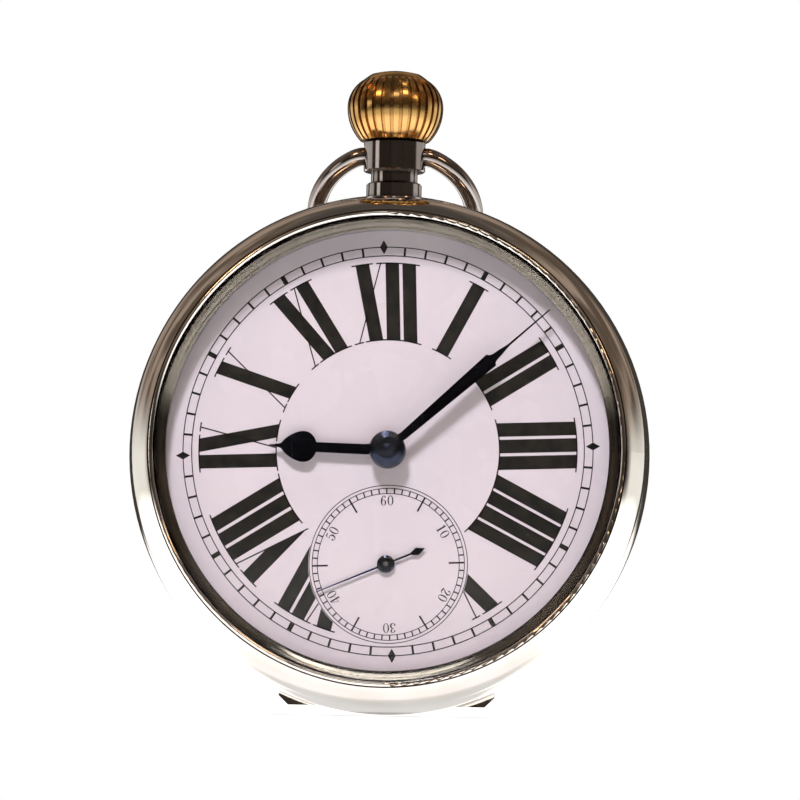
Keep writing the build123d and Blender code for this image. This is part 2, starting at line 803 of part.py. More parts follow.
barrel_bridge_screws = [polar(24.2, angle) for angle in (8, 118, 172)]
train_bridge_screws = [polar(24.2, angle) for angle in (200, 238, 276)]
cock_screws = [polar(23.7, -16)]
pallet_foot = towards(pallet, (pallet[0] + (balance[1] - escape[1]), pallet[1] - (balance[0] - escape[0])), 4.9)
foot_angles = (30, 150, 270)

# Sunk pockets on the back of the plate: (centre, radius, floor height).
plate_pockets = [
    (barrel_at, 10.7, 8.75),
    (centre, 2.1, 8.75),
    (fourth, 7.35, 8.3),
    (escape, 4.2, 7.6),
    (escape, 1.15, 8.5),
    (pallet, 3.2, 7.3),
    (balance, 2.4, 7.3),
]
plate_jewels = [(third, 0.22), (fourth, 0.35), (escape, 0.2), (pallet, 0.2), (balance, 0.17)]
bridge_jewels = [(centre, 0.4), (third, 0.22), (fourth, 0.22), (escape, 0.2)]
bridge_jewel_radius = 1.0

with BuildPart() as main_plate:
    revolve(turned([
        (0, plate_back),
        (plate_radius, plate_back),
        (plate_radius, ledge_height),
        (plate_flange_radius, ledge_height),
        (plate_flange_radius, plate_front),
        (0, plate_front),
    ]), axis=front_axis())
    for at, radius, floor in plate_pockets:
        extrude(disc(plate_back, radius, at), amount=floor - plate_back, mode=Mode.SUBTRACT)
    for at, hole in plate_jewels:
        extrude(disc(plate_back, 0.55, at), amount=3, mode=Mode.SUBTRACT)
        extrude(disc(jewel_front - jewel_thickness, jewel_radius + 0.01, at), amount=3, mode=Mode.SUBTRACT)
    extrude(disc(under_dial_floor, 4.95, minute_wheel_at), amount=3, mode=Mode.SUBTRACT)
    extrude(disc(under_dial_floor, 2.1, centre), amount=3, mode=Mode.SUBTRACT)
    extrude(disc(8, 0.95, centre), amount=3, mode=Mode.SUBTRACT)
    extrude(disc(8, 0.94, barrel_at), amount=3, mode=Mode.SUBTRACT)
    for at in barrel_bridge_screws + train_bridge_screws + cock_screws + [pallet_foot]:
        extrude(disc(plate_back, 0.71, at), amount=1.85, mode=Mode.SUBTRACT)
    for at in case_screws_at:
        extrude(disc(plate_back, 0.71, at), amount=1.85, mode=Mode.SUBTRACT)
    for angle in foot_angles:
        extrude(disc(9.15, 0.62, polar(21.0, angle)), amount=3, mode=Mode.SUBTRACT)
    with BuildSketch(level(plate_back - 1)):
        with Locations((0, 19.7)):
            Rectangle(6.8, 8.2)
    extrude(amount=6, mode=Mode.SUBTRACT)
    with BuildSketch(across_stem(14.0)):
        Circle(0.55)
    extrude(amount=2, mode=Mode.SUBTRACT)
    with BuildSketch(across_stem(23)):
        Circle(1.15)
    extrude(amount=8, mode=Mode.SUBTRACT)
main_plate.part.label = "main_plate"
export_step(main_plate.part, "parts/main_plate.step")


def bridge_screw_holes(places, back):
    """Counterbored holes through a bridge for cheese-head screws."""
    for at in places:
        extrude(disc(back, 1.42, at), amount=0.7, mode=Mode.SUBTRACT)
        extrude(disc(back, 0.71, at), amount=6, mode=Mode.SUBTRACT)


with BuildPart() as barrel_bridge:
    with BuildSketch(level(bridge_back)):
        Circle(bridge_radius)
        with Locations((0, -2.6 - bridge_radius)):
            Rectangle(3 * bridge_radius, 2 * bridge_radius, mode=Mode.SUBTRACT)
        with Locations(balance):
            Circle(balance_sweep, mode=Mode.SUBTRACT)
    extrude(amount=plate_back - bridge_back)
    with BuildSketch(level(bridge_front)):
        Circle(bridge_foot_radius)
    extrude(amount=3, mode=Mode.SUBTRACT)
    extrude(disc(bridge_back, 5.5, crown_wheel_at), amount=winding_recess - bridge_back, mode=Mode.SUBTRACT)
    extrude(disc(bridge_back, 7.45, barrel_at), amount=winding_recess - bridge_back, mode=Mode.SUBTRACT)
    extrude(disc(3, 1.34, barrel_at), amount=3, mode=Mode.SUBTRACT)
    extrude(disc(3, bridge_jewel_radius + 0.01, centre), amount=3, mode=Mode.SUBTRACT)
    extrude(disc(3, 0.72, crown_wheel_at), amount=3, mode=Mode.SUBTRACT)
    bridge_screw_holes(barrel_bridge_screws, bridge_back)
    for at in case_screws_at:
        extrude(disc(bridge_back, 1.8, at), amount=6, mode=Mode.SUBTRACT)
    with BuildSketch(level(bridge_back)):
        with Locations((0, 22.1)):
            Rectangle(6.8, 3.3)
    extrude(amount=6, mode=Mode.SUBTRACT)
    with BuildSketch(across_stem(19)):
        Circle(1.15)
    extrude(amount=9, mode=Mode.SUBTRACT)
barrel_bridge.part.label = "barrel_bridge"
export_step(barrel_bridge.part, "parts/barrel_bridge.step")

with BuildPart() as train_bridge:
    with BuildSketch(level(bridge_back)):
        Circle(bridge_radius)
        with Locations((0, -3.0 + bridge_radius)):
            Rectangle(3 * bridge_radius, 2 * bridge_radius, mode=Mode.SUBTRACT)
        with Locations(balance):
            Circle(balance_sweep, mode=Mode.SUBTRACT)
        with Locations((6.4 + 15, 0)):
            Rectangle(30, 26, mode=Mode.SUBTRACT)
        with Locations((11.2 + 15, -20)):
            Rectangle(30, 30, mode=Mode.SUBTRACT)
    extrude(amount=plate_back - bridge_back)
    with BuildSketch(level(bridge_front)):
        Circle(bridge_foot_radius)
    extrude(amount=3, mode=Mode.SUBTRACT)
    for at in (third, fourth, escape):
        extrude(disc(3, bridge_jewel_radius + 0.01, at), amount=3, mode=Mode.SUBTRACT)
    bridge_screw_holes(train_bridge_screws, bridge_back)
    for at in case_screws_at:
        extrude(disc(bridge_back, 1.8, at), amount=6, mode=Mode.SUBTRACT)
train_bridge.part.label = "train_bridge"
export_step(train_bridge.part, "parts/train_bridge.step")

cock_back = 3.3
cock_front = 4.3
cock_foot = polar(22.4, -16.5)
with BuildPart() as balance_cock:
    with BuildSketch(level(cock_back)):
        add(cock_outline())
        Circle(bridge_radius, mode=Mode.INTERSECT)
    extrude(amount=cock_front - cock_back)
    with BuildSketch(level(cock_front)):
        with Locations(cock_foot):
            Circle(cock_foot_radius)
        Circle(bridge_radius, mode=Mode.INTERSECT)
        with Locations(balance):
            Circle(balance_sweep + 0.1, mode=Mode.SUBTRACT)
    extrude(amount=plate_back - cock_front)
    extrude(disc(3, 0.92, balance), amount=3, mode=Mode.SUBTRACT)
    bridge_screw_holes(cock_screws, cock_back)
balance_cock.part.label = "balance_cock"
export_step(balance_cock.part, "parts/balance_cock.step")

pallet_bridge_back = 6.2
pallet_bridge_front = 6.55
with BuildPart() as pallet_bridge:
    with BuildSketch(level(pallet_bridge_back)):
        with Locations(pallet):
            Circle(1.25)
        with Locations(pallet_foot):
            Circle(1.6)
        make_hull()
    extrude(amount=pallet_bridge_front - pallet_bridge_back)
    extrude(disc(pallet_bridge_front, 1.6, pallet_foot), amount=plate_back - pallet_bridge_front)
    extrude(disc(3, 0.62, pallet), amount=5, mode=Mode.SUBTRACT)
    extrude(disc(3, 0.71, pallet_foot), amount=5, mode=Mode.SUBTRACT)
pallet_bridge.part.label = "pallet_bridge"
export_step(pallet_bridge.part, "parts/pallet_bridge.step")

with BuildPart() as jewels:
    # Each jewel is a pierced disc, set flush in its hole.
    for at, hole in bridge_jewels:
        extrude(disc(bridge_front - 0.9, bridge_jewel_radius, at, hole), amount=0.9)
    for at, hole in plate_jewels:
        extrude(disc(jewel_front - jewel_thickness, jewel_radius, at, hole), amount=jewel_thickness)
    extrude(disc(pallet_bridge_back, 0.61, pallet, 0.2), amount=0.35)
    extrude(disc(cock_front - 0.5, 0.91, balance, 0.17), amount=0.5)
jewels.part.label = "jewels"
export_step(jewels.part, "parts/jewels.step")

with BuildPart() as cap_jewel_plate:
    extrude(disc(cock_back - 0.4, 1.6, balance), amount=0.4)
    extrude(disc(cock_back, 0.85, balance), amount=0.3)
cap_jewel_plate.part.label = "cap_jewel_plate"
export_step(cap_jewel_plate.part, "parts/cap_jewel_plate.step")

with BuildPart() as bridge_screws:
    for at in barrel_bridge_screws + train_bridge_screws:
        revolve(turned(screw_points(bridge_back + 0.02, 1.38, bridge_back + 0.7, 0.69, 8.7), at),
                axis=front_axis(at))
        extrude(screw_slot(bridge_back, at, 1.4, 0.3, at[0] * 7), amount=0.32, mode=Mode.SUBTRACT)
    for at in cock_screws:
        revolve(turned(screw_points(cock_back + 0.02, 1.38, cock_back + 0.7, 0.69, 8.7), at),
                axis=front_axis(at))
        extrude(screw_slot(cock_back, at, 1.4, 0.3, 25), amount=0.32, mode=Mode.SUBTRACT)
    revolve(turned(screw_points(6.06, 1.05, 6.2, 0.69, 8.7), pallet_foot), axis=front_axis(pallet_foot))
bridge_screws.part.label = "bridge_screws"
export_step(bridge_screws.part, "parts/bridge_screws.step")

with BuildPart() as case_screws:
    for at in case_screws_at:
        revolve(turned(screw_points(6.3, 1.7, plate_back, 0.69, 8.7), at), axis=front_axis(at))
        extrude(screw_slot(6.3, at, 1.7, 0.32, 40), amount=0.3, mode=Mode.SUBTRACT)
case_screws.part.label = "case_screws"
export_step(case_screws.part, "parts/case_screws.step")

# ============================ going train ============================

barrel_direction = direction(barrel_at, centre)
third_direction = direction(centre, third)
fourth_direction = direction(third, fourth)
escape_direction = direction(fourth, escape)
minute_direction = direction(centre, minute_wheel_at)
centre_pinion_phase = meshed_phase(barrel_direction, barrel_teeth, barrel_direction, centre_leaves)
third_pinion_phase = meshed_phase(third_direction, centre_teeth, third_direction, third_leaves)
fourth_pinion_phase = meshed_phase(fourth_direction, third_teeth, fourth_direction, fourth_leaves)
escape_pinion_phase = meshed_phase(escape_direction, fourth_teeth, escape_direction, escape_leaves)
minute_wheel_phase = meshed_phase(minute_direction, cannon_leaves, minute_direction, minute_teeth)
hour_direction = minute_direction + pi
hour_wheel_phase = meshed_phase(hour_direction, minute_leaves, hour_direction, hour_teeth)

with BuildPart() as barrel:
    drum_radius = 9.1
    extrude(gear(7.7, barrel_at, barrel_teeth, barrel_module, wheel_tooth, barrel_direction), amount=0.7)
    extrude(disc(5.8, drum_radius, barrel_at), amount=2.8)
    extrude(disc(5.8, drum_radius - 0.35, barrel_at), amount=0.4, mode=Mode.SUBTRACT)
    extrude(disc(6.2, drum_radius - 0.7, barrel_at), amount=1.9, mode=Mode.SUBTRACT)
    extrude(disc(8.0, 0.95, barrel_at), amount=1, mode=Mode.SUBTRACT)
barrel.part.label = "barrel"
export_step(barrel.part, "parts/barrel.step")

with BuildPart() as barrel_cover:
    extrude(disc(5.82, drum_radius - 0.37, barrel_at, 1.36), amount=0.36)
barrel_cover.part.label = "barrel_cover"
export_step(barrel_cover.part, "parts/barrel_cover.step")

with BuildPart() as mainspring:
    extrude(spiral(6.3, barrel_at, 2.5, drum_radius - 0.95, 8.5, 0.24, 0.4), amount=1.65)
mainspring.part.label = "mainspring"
export_step(mainspring.part, "parts/mainspring.step")

# Spoked brass wheels: (height, place, teeth, module, phase, bore).
train_wheels = {
    "centre_wheel": (5.15, centre, centre_teeth, centre_module, third_direction, 0.77),
    "third_wheel": (6.4, third, third_teeth, third_module, fourth_direction, 0.47),
    "fourth_wheel": (7.65, fourth, fourth_teeth, fourth_module, escape_direction, 0.47),
}
for wheel_name, (height, at, teeth, module, phase, bore) in train_wheels.items():
    with BuildPart() as train_wheel:
        rim_inner = teeth * module / 2 - 2.2 * wheel_tooth[0] * module - 0.35
        extrude(gear(height, at, teeth, module, wheel_tooth, phase), amount=wheel_thickness)
        extrude(crossings(height, at, 1.5, rim_inner, 5, 0.8), amount=wheel_thickness, mode=Mode.SUBTRACT)
        extrude(disc(height, bore, at), amount=wheel_thickness, mode=Mode.SUBTRACT)
    train_wheel.part.label = wheel_name
    export_step(train_wheel.part, f"parts/{wheel_name}.step")

with BuildPart() as centre_arbor:
    revolve(turned(shaft_points(3.7, (0.34, 4.95), (0.75, 8.7), (0.7, 9.7), (0.5, 14.2)), centre),
            axis=front_axis(centre))
    extrude(gear(7.5, centre, centre_leaves, barrel_module, pinion_leaf, centre_pinion_phase), amount=1.1)
centre_arbor.part.label = "centre_arbor"
export_step(centre_arbor.part, "parts/centre_arbor.step")

with BuildPart() as third_arbor:
    revolve(turned(shaft_points(4.0, (0.18, 4.95), (0.45, 8.5), (0.18, 9.25)), third), axis=front_axis(third))
    extrude(gear(5.0, third, third_leaves, centre_module, pinion_leaf, third_pinion_phase), amount=0.75)
third_arbor.part.label = "third_arbor"
export_step(third_arbor.part, "parts/third_arbor.step")

with BuildPart() as fourth_arbor:
    revolve(turned(shaft_points(4.0, (0.18, 4.95), (0.45, 8.5), (0.3, 13.05)), fourth), axis=front_axis(fourth))
    extrude(gear(6.1, fourth, fourth_leaves, third_module, pinion_leaf, fourth_pinion_phase), amount=1.0)
fourth_arbor.part.label = "fourth_arbor"
export_step(fourth_arbor.part, "parts/fourth_arbor.step")

with BuildPart() as escape_arbor:
    revolve(turned(shaft_points(4.0, (0.16, 4.95), (0.35, 8.5), (0.16, 9.25)), escape), axis=front_axis(escape))
    extrude(gear(7.5, escape, escape_leaves, fourth_module, pinion_leaf, escape_pinion_phase), amount=0.8)
escape_arbor.part.label = "escape_arbor"
export_step(escape_arbor.part, "parts/escape_arbor.step")

with BuildPart() as escape_wheel:
    # Fifteen raked club teeth on a thin rim.
    tooth_pitch = 2 * pi / escape_teeth
    escape_points = []
    for tooth in range(escape_teeth):
        for radius, lead_angle in ((2.75, 0.05), (2.75, 0.55), (3.55, 0.95), (escape_radius, 1.08)):
            angle = (tooth + lead_angle) * tooth_pitch
            escape_points.append((radius * cos(angle), radius * sin(angle)))
    extrude(outline_face(level(7.15, escape), escape_points), amount=0.3)
    extrude(crossings(7.15, escape, 0.85, 2.35, 4, 0.4), amount=0.3, mode=Mode.SUBTRACT)
    extrude(disc(7.15, 0.37, escape), amount=0.3, mode=Mode.SUBTRACT)
escape_wheel.part.label = "escape_wheel"
export_step(escape_wheel.part, "parts/escape_wheel.step")

# The lever is drawn on its own plane: +x runs from the pallet axis towards the balance.
lever_angle = direction(pallet, balance)


def lever_plane(height):
    """Plane at this height, on the pallet axis, with +x towards the balance."""
    return Plane(
        origin=(pallet[0], -height, pallet[1]),
        x_dir=(cos(lever_angle), 0, sin(lever_angle)),
        z_dir=(0, -1, 0),
    )


stone_angle = 123.0
stone_reach = 2.35
fork_reach = 3.6
with BuildPart() as pallet_fork:
    with BuildSketch(lever_plane(6.75)):
        with Locations((fork_reach / 2 - 0.2, 0)):
            Rectangle(fork_reach - 0.4, 0.42)
        with Locations((fork_reach - 0.45, 0)):
            Rectangle(0.9, 1.3)
        with Locations((fork_reach - 0.1, 0)):
            Rectangle(1.0, 0.62, mode=Mode.SUBTRACT)
        Circle(0.7)
        for side in (1, -1):
            arm_turn = side * stone_angle
            with Locations(polar(stone_reach / 2, arm_turn)):
                Rectangle(stone_reach, 0.75, rotation=arm_turn)
    extrude(amount=0.33)
    revolve(turned(shaft_points(6.22, (0.16, 6.62), (0.34, 8.5), (0.16, 9.25)), pallet), axis=front_axis(pallet))
    for side in (1, -1):
        with BuildSketch(lever_plane(6.7)):
            with Locations(polar(stone_reach, side * stone_angle)):
                Rectangle(0.9, 0.34, rotation=side * (stone_angle - 18))
        extrude(amount=0.5, mode=Mode.SUBTRACT)
pallet_fork.part.label = "pallet_fork"
export_step(pallet_fork.part, "parts/pallet_fork.step")

with BuildPart() as pallet_stones:
    for side in (1, -1):
        with BuildSketch(lever_plane(6.76)):
            with Locations(polar(stone_reach + 0.12, side * stone_angle)):
                Rectangle(0.62, 0.3, rotation=side * (stone_angle - 18))
        extrude(amount=0.31)
pallet_stones.part.label = "pallet_stones"
export_step(pallet_stones.part, "parts/pallet_stones.step")

balance_rim_back = 5.15
balance_rim_front = 5.95
with BuildPart() as balance_wheel:
    extrude(disc(balance_rim_back, 7.2, balance, 6.6), amount=balance_rim_front - balance_rim_back)
    with BuildSketch(level(balance_rim_back + 0.2, balance)):
        Rectangle(13.6, 1.1, rotation=25)
        Circle(1.5)
    extrude(amount=0.4)
    extrude(disc(5, 0.42, balance), amount=2, mode=Mode.SUBTRACT)
balance_wheel.part.label = "balance_wheel"
export_step(balance_wheel.part, "parts/balance_wheel.step")

with BuildPart() as balance_screws:
    with BuildSketch(level(balance_rim_back + 0.4, balance)):
        with PolarLocations(7.52, 16, start_angle=8):
            Rectangle(0.62, 0.72)
    extrude(amount=0.36, both=True)
balance_screws.part.label = "balance_screws"
export_step(balance_screws.part, "parts/balance_screws.step")

with BuildPart() as balance_staff:
    revolve(turned(shaft_points(3.7, (0.13, 4.35), (0.4, 6.05), (1.35, 6.3), (0.35, 8.5), (0.13, 9.2)), balance),
            axis=front_axis(balance))
    impulse_pin = towards(balance, pallet, 1.1)
    extrude(disc(6.3, 0.14, impulse_pin), amount=0.38)
balance_staff.part.label = "balance_staff"
export_step(balance_staff.part, "parts/balance_staff.step")

spring_start = 0.3
spring_turns = 9.0
hairspring_radius = 3.85
with BuildPart() as hairspring:
    extrude(spiral(4.55, balance, 0.75, hairspring_radius, spring_turns, 0.09, spring_start), amount=0.28)
hairspring.part.label = "hairspring"
export_step(hairspring.part, "parts/hairspring.step")

stud_at = (balance[0] + polar(hairspring_radius, degrees(spring_start))[0] + 0.3,
           balance[1] + polar(hairspring_radius, degrees(spring_start))[1] + 0.12)
with BuildPart() as hairspring_stud:
    extrude(disc(cock_front, 0.22, stud_at), amount=0.6)
hairspring_stud.part.label = "hairspring_stud"
export_step(hairspring_stud.part, "parts/hairspring_stud.step")

with BuildPart() as regulator:
    # A split ring on the cap jewel plate, with a pointer above the foot and a short curb-pin tail.
    pointer = degrees(direction(balance, cock_foot))
    with BuildSketch(level(cock_back - 0.35, balance)):
        Circle(2.5)
        with Locations(polar(4.0, pointer)):
            Rectangle(5.0, 0.6, rotation=pointer)
        with Locations(polar(3.2, pointer + 150)):
            Rectangle(2.2, 0.9, rotation=pointer + 150)
        Circle(1.64, mode=Mode.SUBTRACT)
    extrude(amount=0.3)
    for reach in (3.58, 4.12):
        pin_at = (balance[0] + polar(reach, pointer + 150)[0], balance[1] + polar(reach, pointer + 150)[1])
        extrude(disc(cock_back - 0.1, 0.1, pin_at), amount=1.5)
regulator.part.label = "regulator"
export_step(regulator.part, "parts/regulator.step")

# ============================ motion work, dial and hands ============================

with BuildPart() as cannon_pinion:
    extrude(gear(9.72, centre, cannon_leaves, cannon_module, pinion_leaf, minute_direction), amount=0.45)
    revolve(turned(shaft_points(9.72, (0.95, minute_hand_height), (0.8, minute_hand_height + 0.3)), centre),
            axis=front_axis(centre))
    extrude(disc(9.5, 0.52, centre), amount=4.75, mode=Mode.SUBTRACT)
cannon_pinion.part.label = "cannon_pinion"
export_step(cannon_pinion.part, "parts/cannon_pinion.step")

with BuildPart() as minute_wheel:
    # The stud that it turns on is part of it here, and runs in the plate.
    extrude(gear(9.75, minute_wheel_at, minute_teeth, cannon_module, wheel_tooth, minute_wheel_phase), amount=0.35)
    extrude(gear(10.1, minute_wheel_at, minute_leaves, hour_module, pinion_leaf, hour_direction), amount=1.0)
minute_wheel.part.label = "minute_wheel"
export_step(minute_wheel.part, "parts/minute_wheel.step")

with BuildPart() as hour_wheel:
    extrude(gear(10.4, centre, hour_teeth, hour_module, wheel_tooth, hour_wheel_phase), amount=0.4)
    extrude(disc(10.4, 1.45, centre), amount=hour_hand_height - 10.4)
    extrude(disc(hour_hand_height, 1.25, centre), amount=0.35)
    extrude(disc(10, 1.0, centre), amount=4, mode=Mode.SUBTRACT)
hour_wheel.part.label = "hour_wheel"
export_step(hour_wheel.part, "parts/hour_wheel.step")

with BuildPart() as dial:
    extrude(disc(dial_back, dial_radius, centre), amount=dial_front - dial_back)
    for edge in dial.edges().filter_by(GeomType.CIRCLE).group_by(Axis.Y)[0]:
        fillet(edge, radius=0.25)
    for angle in foot_angles:
        extrude(disc(9.2, 0.6, polar(21.0, angle)), amount=dial_back - 9.2)
    extrude(disc(dial_back, 1.75, centre), amount=2, mode=Mode.SUBTRACT)
    extrude(disc(dial_back, 0.6, fourth), amount=2, mode=Mode.SUBTRACT)
dial.part.label = "dial"
export_step(dial.part, "parts/dial.step")


def hand_plane(height, at, clock_angle):
    """Plane at this height on a hand's pivot, with +y along the hand, turned clockwise from 12."""
    turn = radians(clock_angle)
    return Plane(origin=(at[0], -height, at[1]), x_dir=(cos(turn), 0, -sin(turn)), z_dir=(0, -1, 0))


with BuildPart() as minute_hand:
    # A tapering blade that widens outward, a concave shoulder, and a long needle.
    with BuildSketch(hand_plane(minute_hand_height, centre, minute_angle)):
        with BuildLine():
            blade = Polyline((0, 1.0), (0.47, 1.0), (0.915, 17.3))
            tip_arc = Spline(blade @ 1, (0.4, 18.4), (0.13, 20.4), tangents=[(-1, 0.25), (-0.04, 1)])
            Polyline(tip_arc @ 1, (0.075, minute_length), (0, minute_length))
            Line((0, minute_length), (0, 1.0))
        make_face()
        mirror(about=Plane.YZ)
        Circle(hand_boss_radius)
        Circle(0.82, mode=Mode.SUBTRACT)
    extrude(amount=0.3)
    revolve(turned([
        (0, minute_hand_height + 0.3),
        (hand_boss_radius, minute_hand_height + 0.3),
        (hand_boss_radius - 0.12, minute_hand_height + 0.75),
        (hand_boss_radius - 0.9, minute_hand_height + 1.05),
        (0.5, minute_hand_height + 1.12),
        (0, minute_hand_height + 0.98),
    ], centre), axis=front_axis(centre))
minute_hand.part.label = "minute_hand"
export_step(minute_hand.part, "parts/minute_hand.step")

with BuildPart() as hour_hand:
    # A parallel shank and a round-shouldered spade with a short point.
    with BuildSketch(hand_plane(hour_hand_height, centre, hour_angle)):
        with BuildLine():
            Line((0, 1.0), (0.66, 1.0))
            shank = Line((0.66, 1.0), (0.62, 9.0))
            spade = Spline(
                shank @ 1, (1.93, 10.9), (0.62, 13.2), (0.13, 14.3), tangents=[(1, 0.35), (-0.1, 1)]
            )
            Polyline(spade @ 1, (0.09, hour_length), (0, hour_length))
            Line((0, hour_length), (0, 1.0))
        make_face()
        mirror(about=Plane.YZ)
        Circle(hand_boss_radius)
        Circle(1.27, mode=Mode.SUBTRACT)
    extrude(amount=0.35)
hour_hand.part.label = "hour_hand"
export_step(hour_hand.part, "parts/hour_hand.step")

with BuildPart() as seconds_hand:
    with BuildSketch(hand_plane(seconds_hand_height, fourth, seconds_angle)):
        with BuildLine():
            Polyline(
                (0, -5.3),
                (0.5, -4.25),
                (0.12, -3.35),
                (0.13, 0),
                (0.06, 9.5),
                (0, 9.5),
                close=True,
            )
        make_face()
        mirror(about=Plane.YZ)
    extrude(amount=0.15)
    revolve(turned([
        (0.32, seconds_hand_height - 0.15),
        (0.75, seconds_hand_height - 0.15),
        (1.13, seconds_hand_height),
        (1.1, seconds_hand_height + 0.2),
        (0.8, seconds_hand_height + 0.32),
        (0.32, seconds_hand_height + 0.34),
    ], fourth), axis=front_axis(fourth))
    extrude(disc(seconds_hand_height - 0.5, 0.32, fourth), amount=1.5, mode=Mode.SUBTRACT)
seconds_hand.part.label = "seconds_hand"
export_step(seconds_hand.part, "parts/seconds_hand.step")
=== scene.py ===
"""Open face pocket watch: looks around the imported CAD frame. Metres, +Z up, dial facing -Y."""

import json
import math

import bmesh
import bpy
from mathutils import Matrix, Vector


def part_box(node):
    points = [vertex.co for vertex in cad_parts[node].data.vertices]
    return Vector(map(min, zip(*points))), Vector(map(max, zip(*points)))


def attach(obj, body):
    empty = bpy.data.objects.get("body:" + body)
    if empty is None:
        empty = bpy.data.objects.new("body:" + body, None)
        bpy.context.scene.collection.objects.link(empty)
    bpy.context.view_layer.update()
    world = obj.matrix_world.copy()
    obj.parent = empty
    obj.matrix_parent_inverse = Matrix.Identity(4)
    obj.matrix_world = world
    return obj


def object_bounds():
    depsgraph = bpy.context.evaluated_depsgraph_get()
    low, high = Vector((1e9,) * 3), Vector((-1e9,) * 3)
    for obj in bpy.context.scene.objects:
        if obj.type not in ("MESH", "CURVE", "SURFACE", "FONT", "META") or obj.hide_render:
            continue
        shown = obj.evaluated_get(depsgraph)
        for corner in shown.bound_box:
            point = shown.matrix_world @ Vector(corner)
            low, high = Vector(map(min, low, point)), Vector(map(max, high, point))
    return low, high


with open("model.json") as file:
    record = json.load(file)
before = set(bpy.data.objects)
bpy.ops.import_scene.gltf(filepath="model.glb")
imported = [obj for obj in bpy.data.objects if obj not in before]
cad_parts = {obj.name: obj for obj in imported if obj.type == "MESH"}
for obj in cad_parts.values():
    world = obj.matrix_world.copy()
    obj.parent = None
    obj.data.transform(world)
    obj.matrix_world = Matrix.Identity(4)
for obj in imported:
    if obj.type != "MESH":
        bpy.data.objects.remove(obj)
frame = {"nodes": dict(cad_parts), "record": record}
cad_low, cad_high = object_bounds()
MM = 0.001


# ---------------------------------------------------------------- node helpers


def node(tree, kind, **values):
    """A new node of that kind, with these values on its sockets; From_Min stands for From Min."""
    made = tree.nodes.new(kind)
    for key, value in values.items():
        made.inputs[key.replace("_", " ")].default_value = value
    return made


def plug(tree, source, target):
    tree.links.new(source, target)


def new_material(name):
    made = bpy.data.materials.new(name)
    made.use_nodes = True
    shader = made.node_tree.nodes["Principled BSDF"]
    return made, made.node_tree, shader


def object_vector(tree, stretch=(1, 1, 1), turn=(0, 0, 0)):
    """Object coordinates, in metres, stretched and turned for a pattern."""
    coord = tree.nodes.new("ShaderNodeTexCoord")
    mapping = tree.nodes.new("ShaderNodeMapping")
    mapping.inputs["Scale"].default_value = stretch
    mapping.inputs["Rotation"].default_value = turn
    plug(tree, coord.outputs["Object"], mapping.inputs["Vector"])
    return mapping.outputs["Vector"]


def noise(tree, scale, detail=3.0, stretch=(1, 1, 1), turn=(0, 0, 0)):
    made = node(tree, "ShaderNodeTexNoise", Scale=scale, Detail=detail)
    plug(tree, object_vector(tree, stretch, turn), made.inputs["Vector"])
    return made.outputs["Fac"]


def remap(tree, source, low, high, to_low=0.0, to_high=1.0):
    """The source taken smoothly from the range low..high to the range to_low..to_high."""
    made = node(tree, "ShaderNodeMapRange", From_Min=low, From_Max=high, To_Min=to_low, To_Max=to_high)
    made.interpolation_type = "SMOOTHSTEP"
    plug(tree, source, made.inputs["Value"])
    return made.outputs["Result"]


def maths(tree, operation, a, b):
    made = tree.nodes.new("ShaderNodeMath")
    made.operation = operation
    for socket, value in zip(made.inputs, (a, b)):
        if isinstance(value, (int, float)):
            socket.default_value = value
        else:
            plug(tree, value, socket)
    return made.outputs[0]


def mix_colour(tree, factor, a, b):
    made = tree.nodes.new("ShaderNodeMix")
    made.data_type = "RGBA"
    if isinstance(factor, (int, float)):
        made.inputs[0].default_value = factor
    else:
        plug(tree, factor, made.inputs[0])
    for socket, value in ((made.inputs[6], a), (made.inputs[7], b)):
        if isinstance(value, tuple):
            socket.default_value = (*value, 1.0)
        else:
            plug(tree, value, socket)
    return made.outputs[2]


def bump(tree, height, distance):
    made = node(tree, "ShaderNodeBump", Strength=1.0, Distance=distance)
    plug(tree, height, made.inputs["Height"])
    return made.outputs["Normal"]


def along(tree, vector, direction):
    """How far a vector reaches in a direction."""
    dot = tree.nodes.new("ShaderNodeVectorMath")
    dot.operation = "DOT_PRODUCT"
    plug(tree, vector, dot.inputs[0])
    dot.inputs[1].default_value = direction
    return dot.outputs["Value"]


def distance_from_axis(tree, keep):
    """Length of the object coordinates, with the axes marked 0 in keep left out."""
    coord = tree.nodes.new("ShaderNodeTexCoord")
    flat = tree.nodes.new("ShaderNodeVectorMath")
    flat.operation = "MULTIPLY"
    plug(tree, coord.outputs["Object"], flat.inputs[0])
    flat.inputs[1].default_value = keep
    length = tree.nodes.new("ShaderNodeVectorMath")
    length.operation = "LENGTH"
    plug(tree, flat.outputs["Vector"], length.inputs[0])
    return length.outputs["Value"]


# ------------------------------------------------------------------- materials


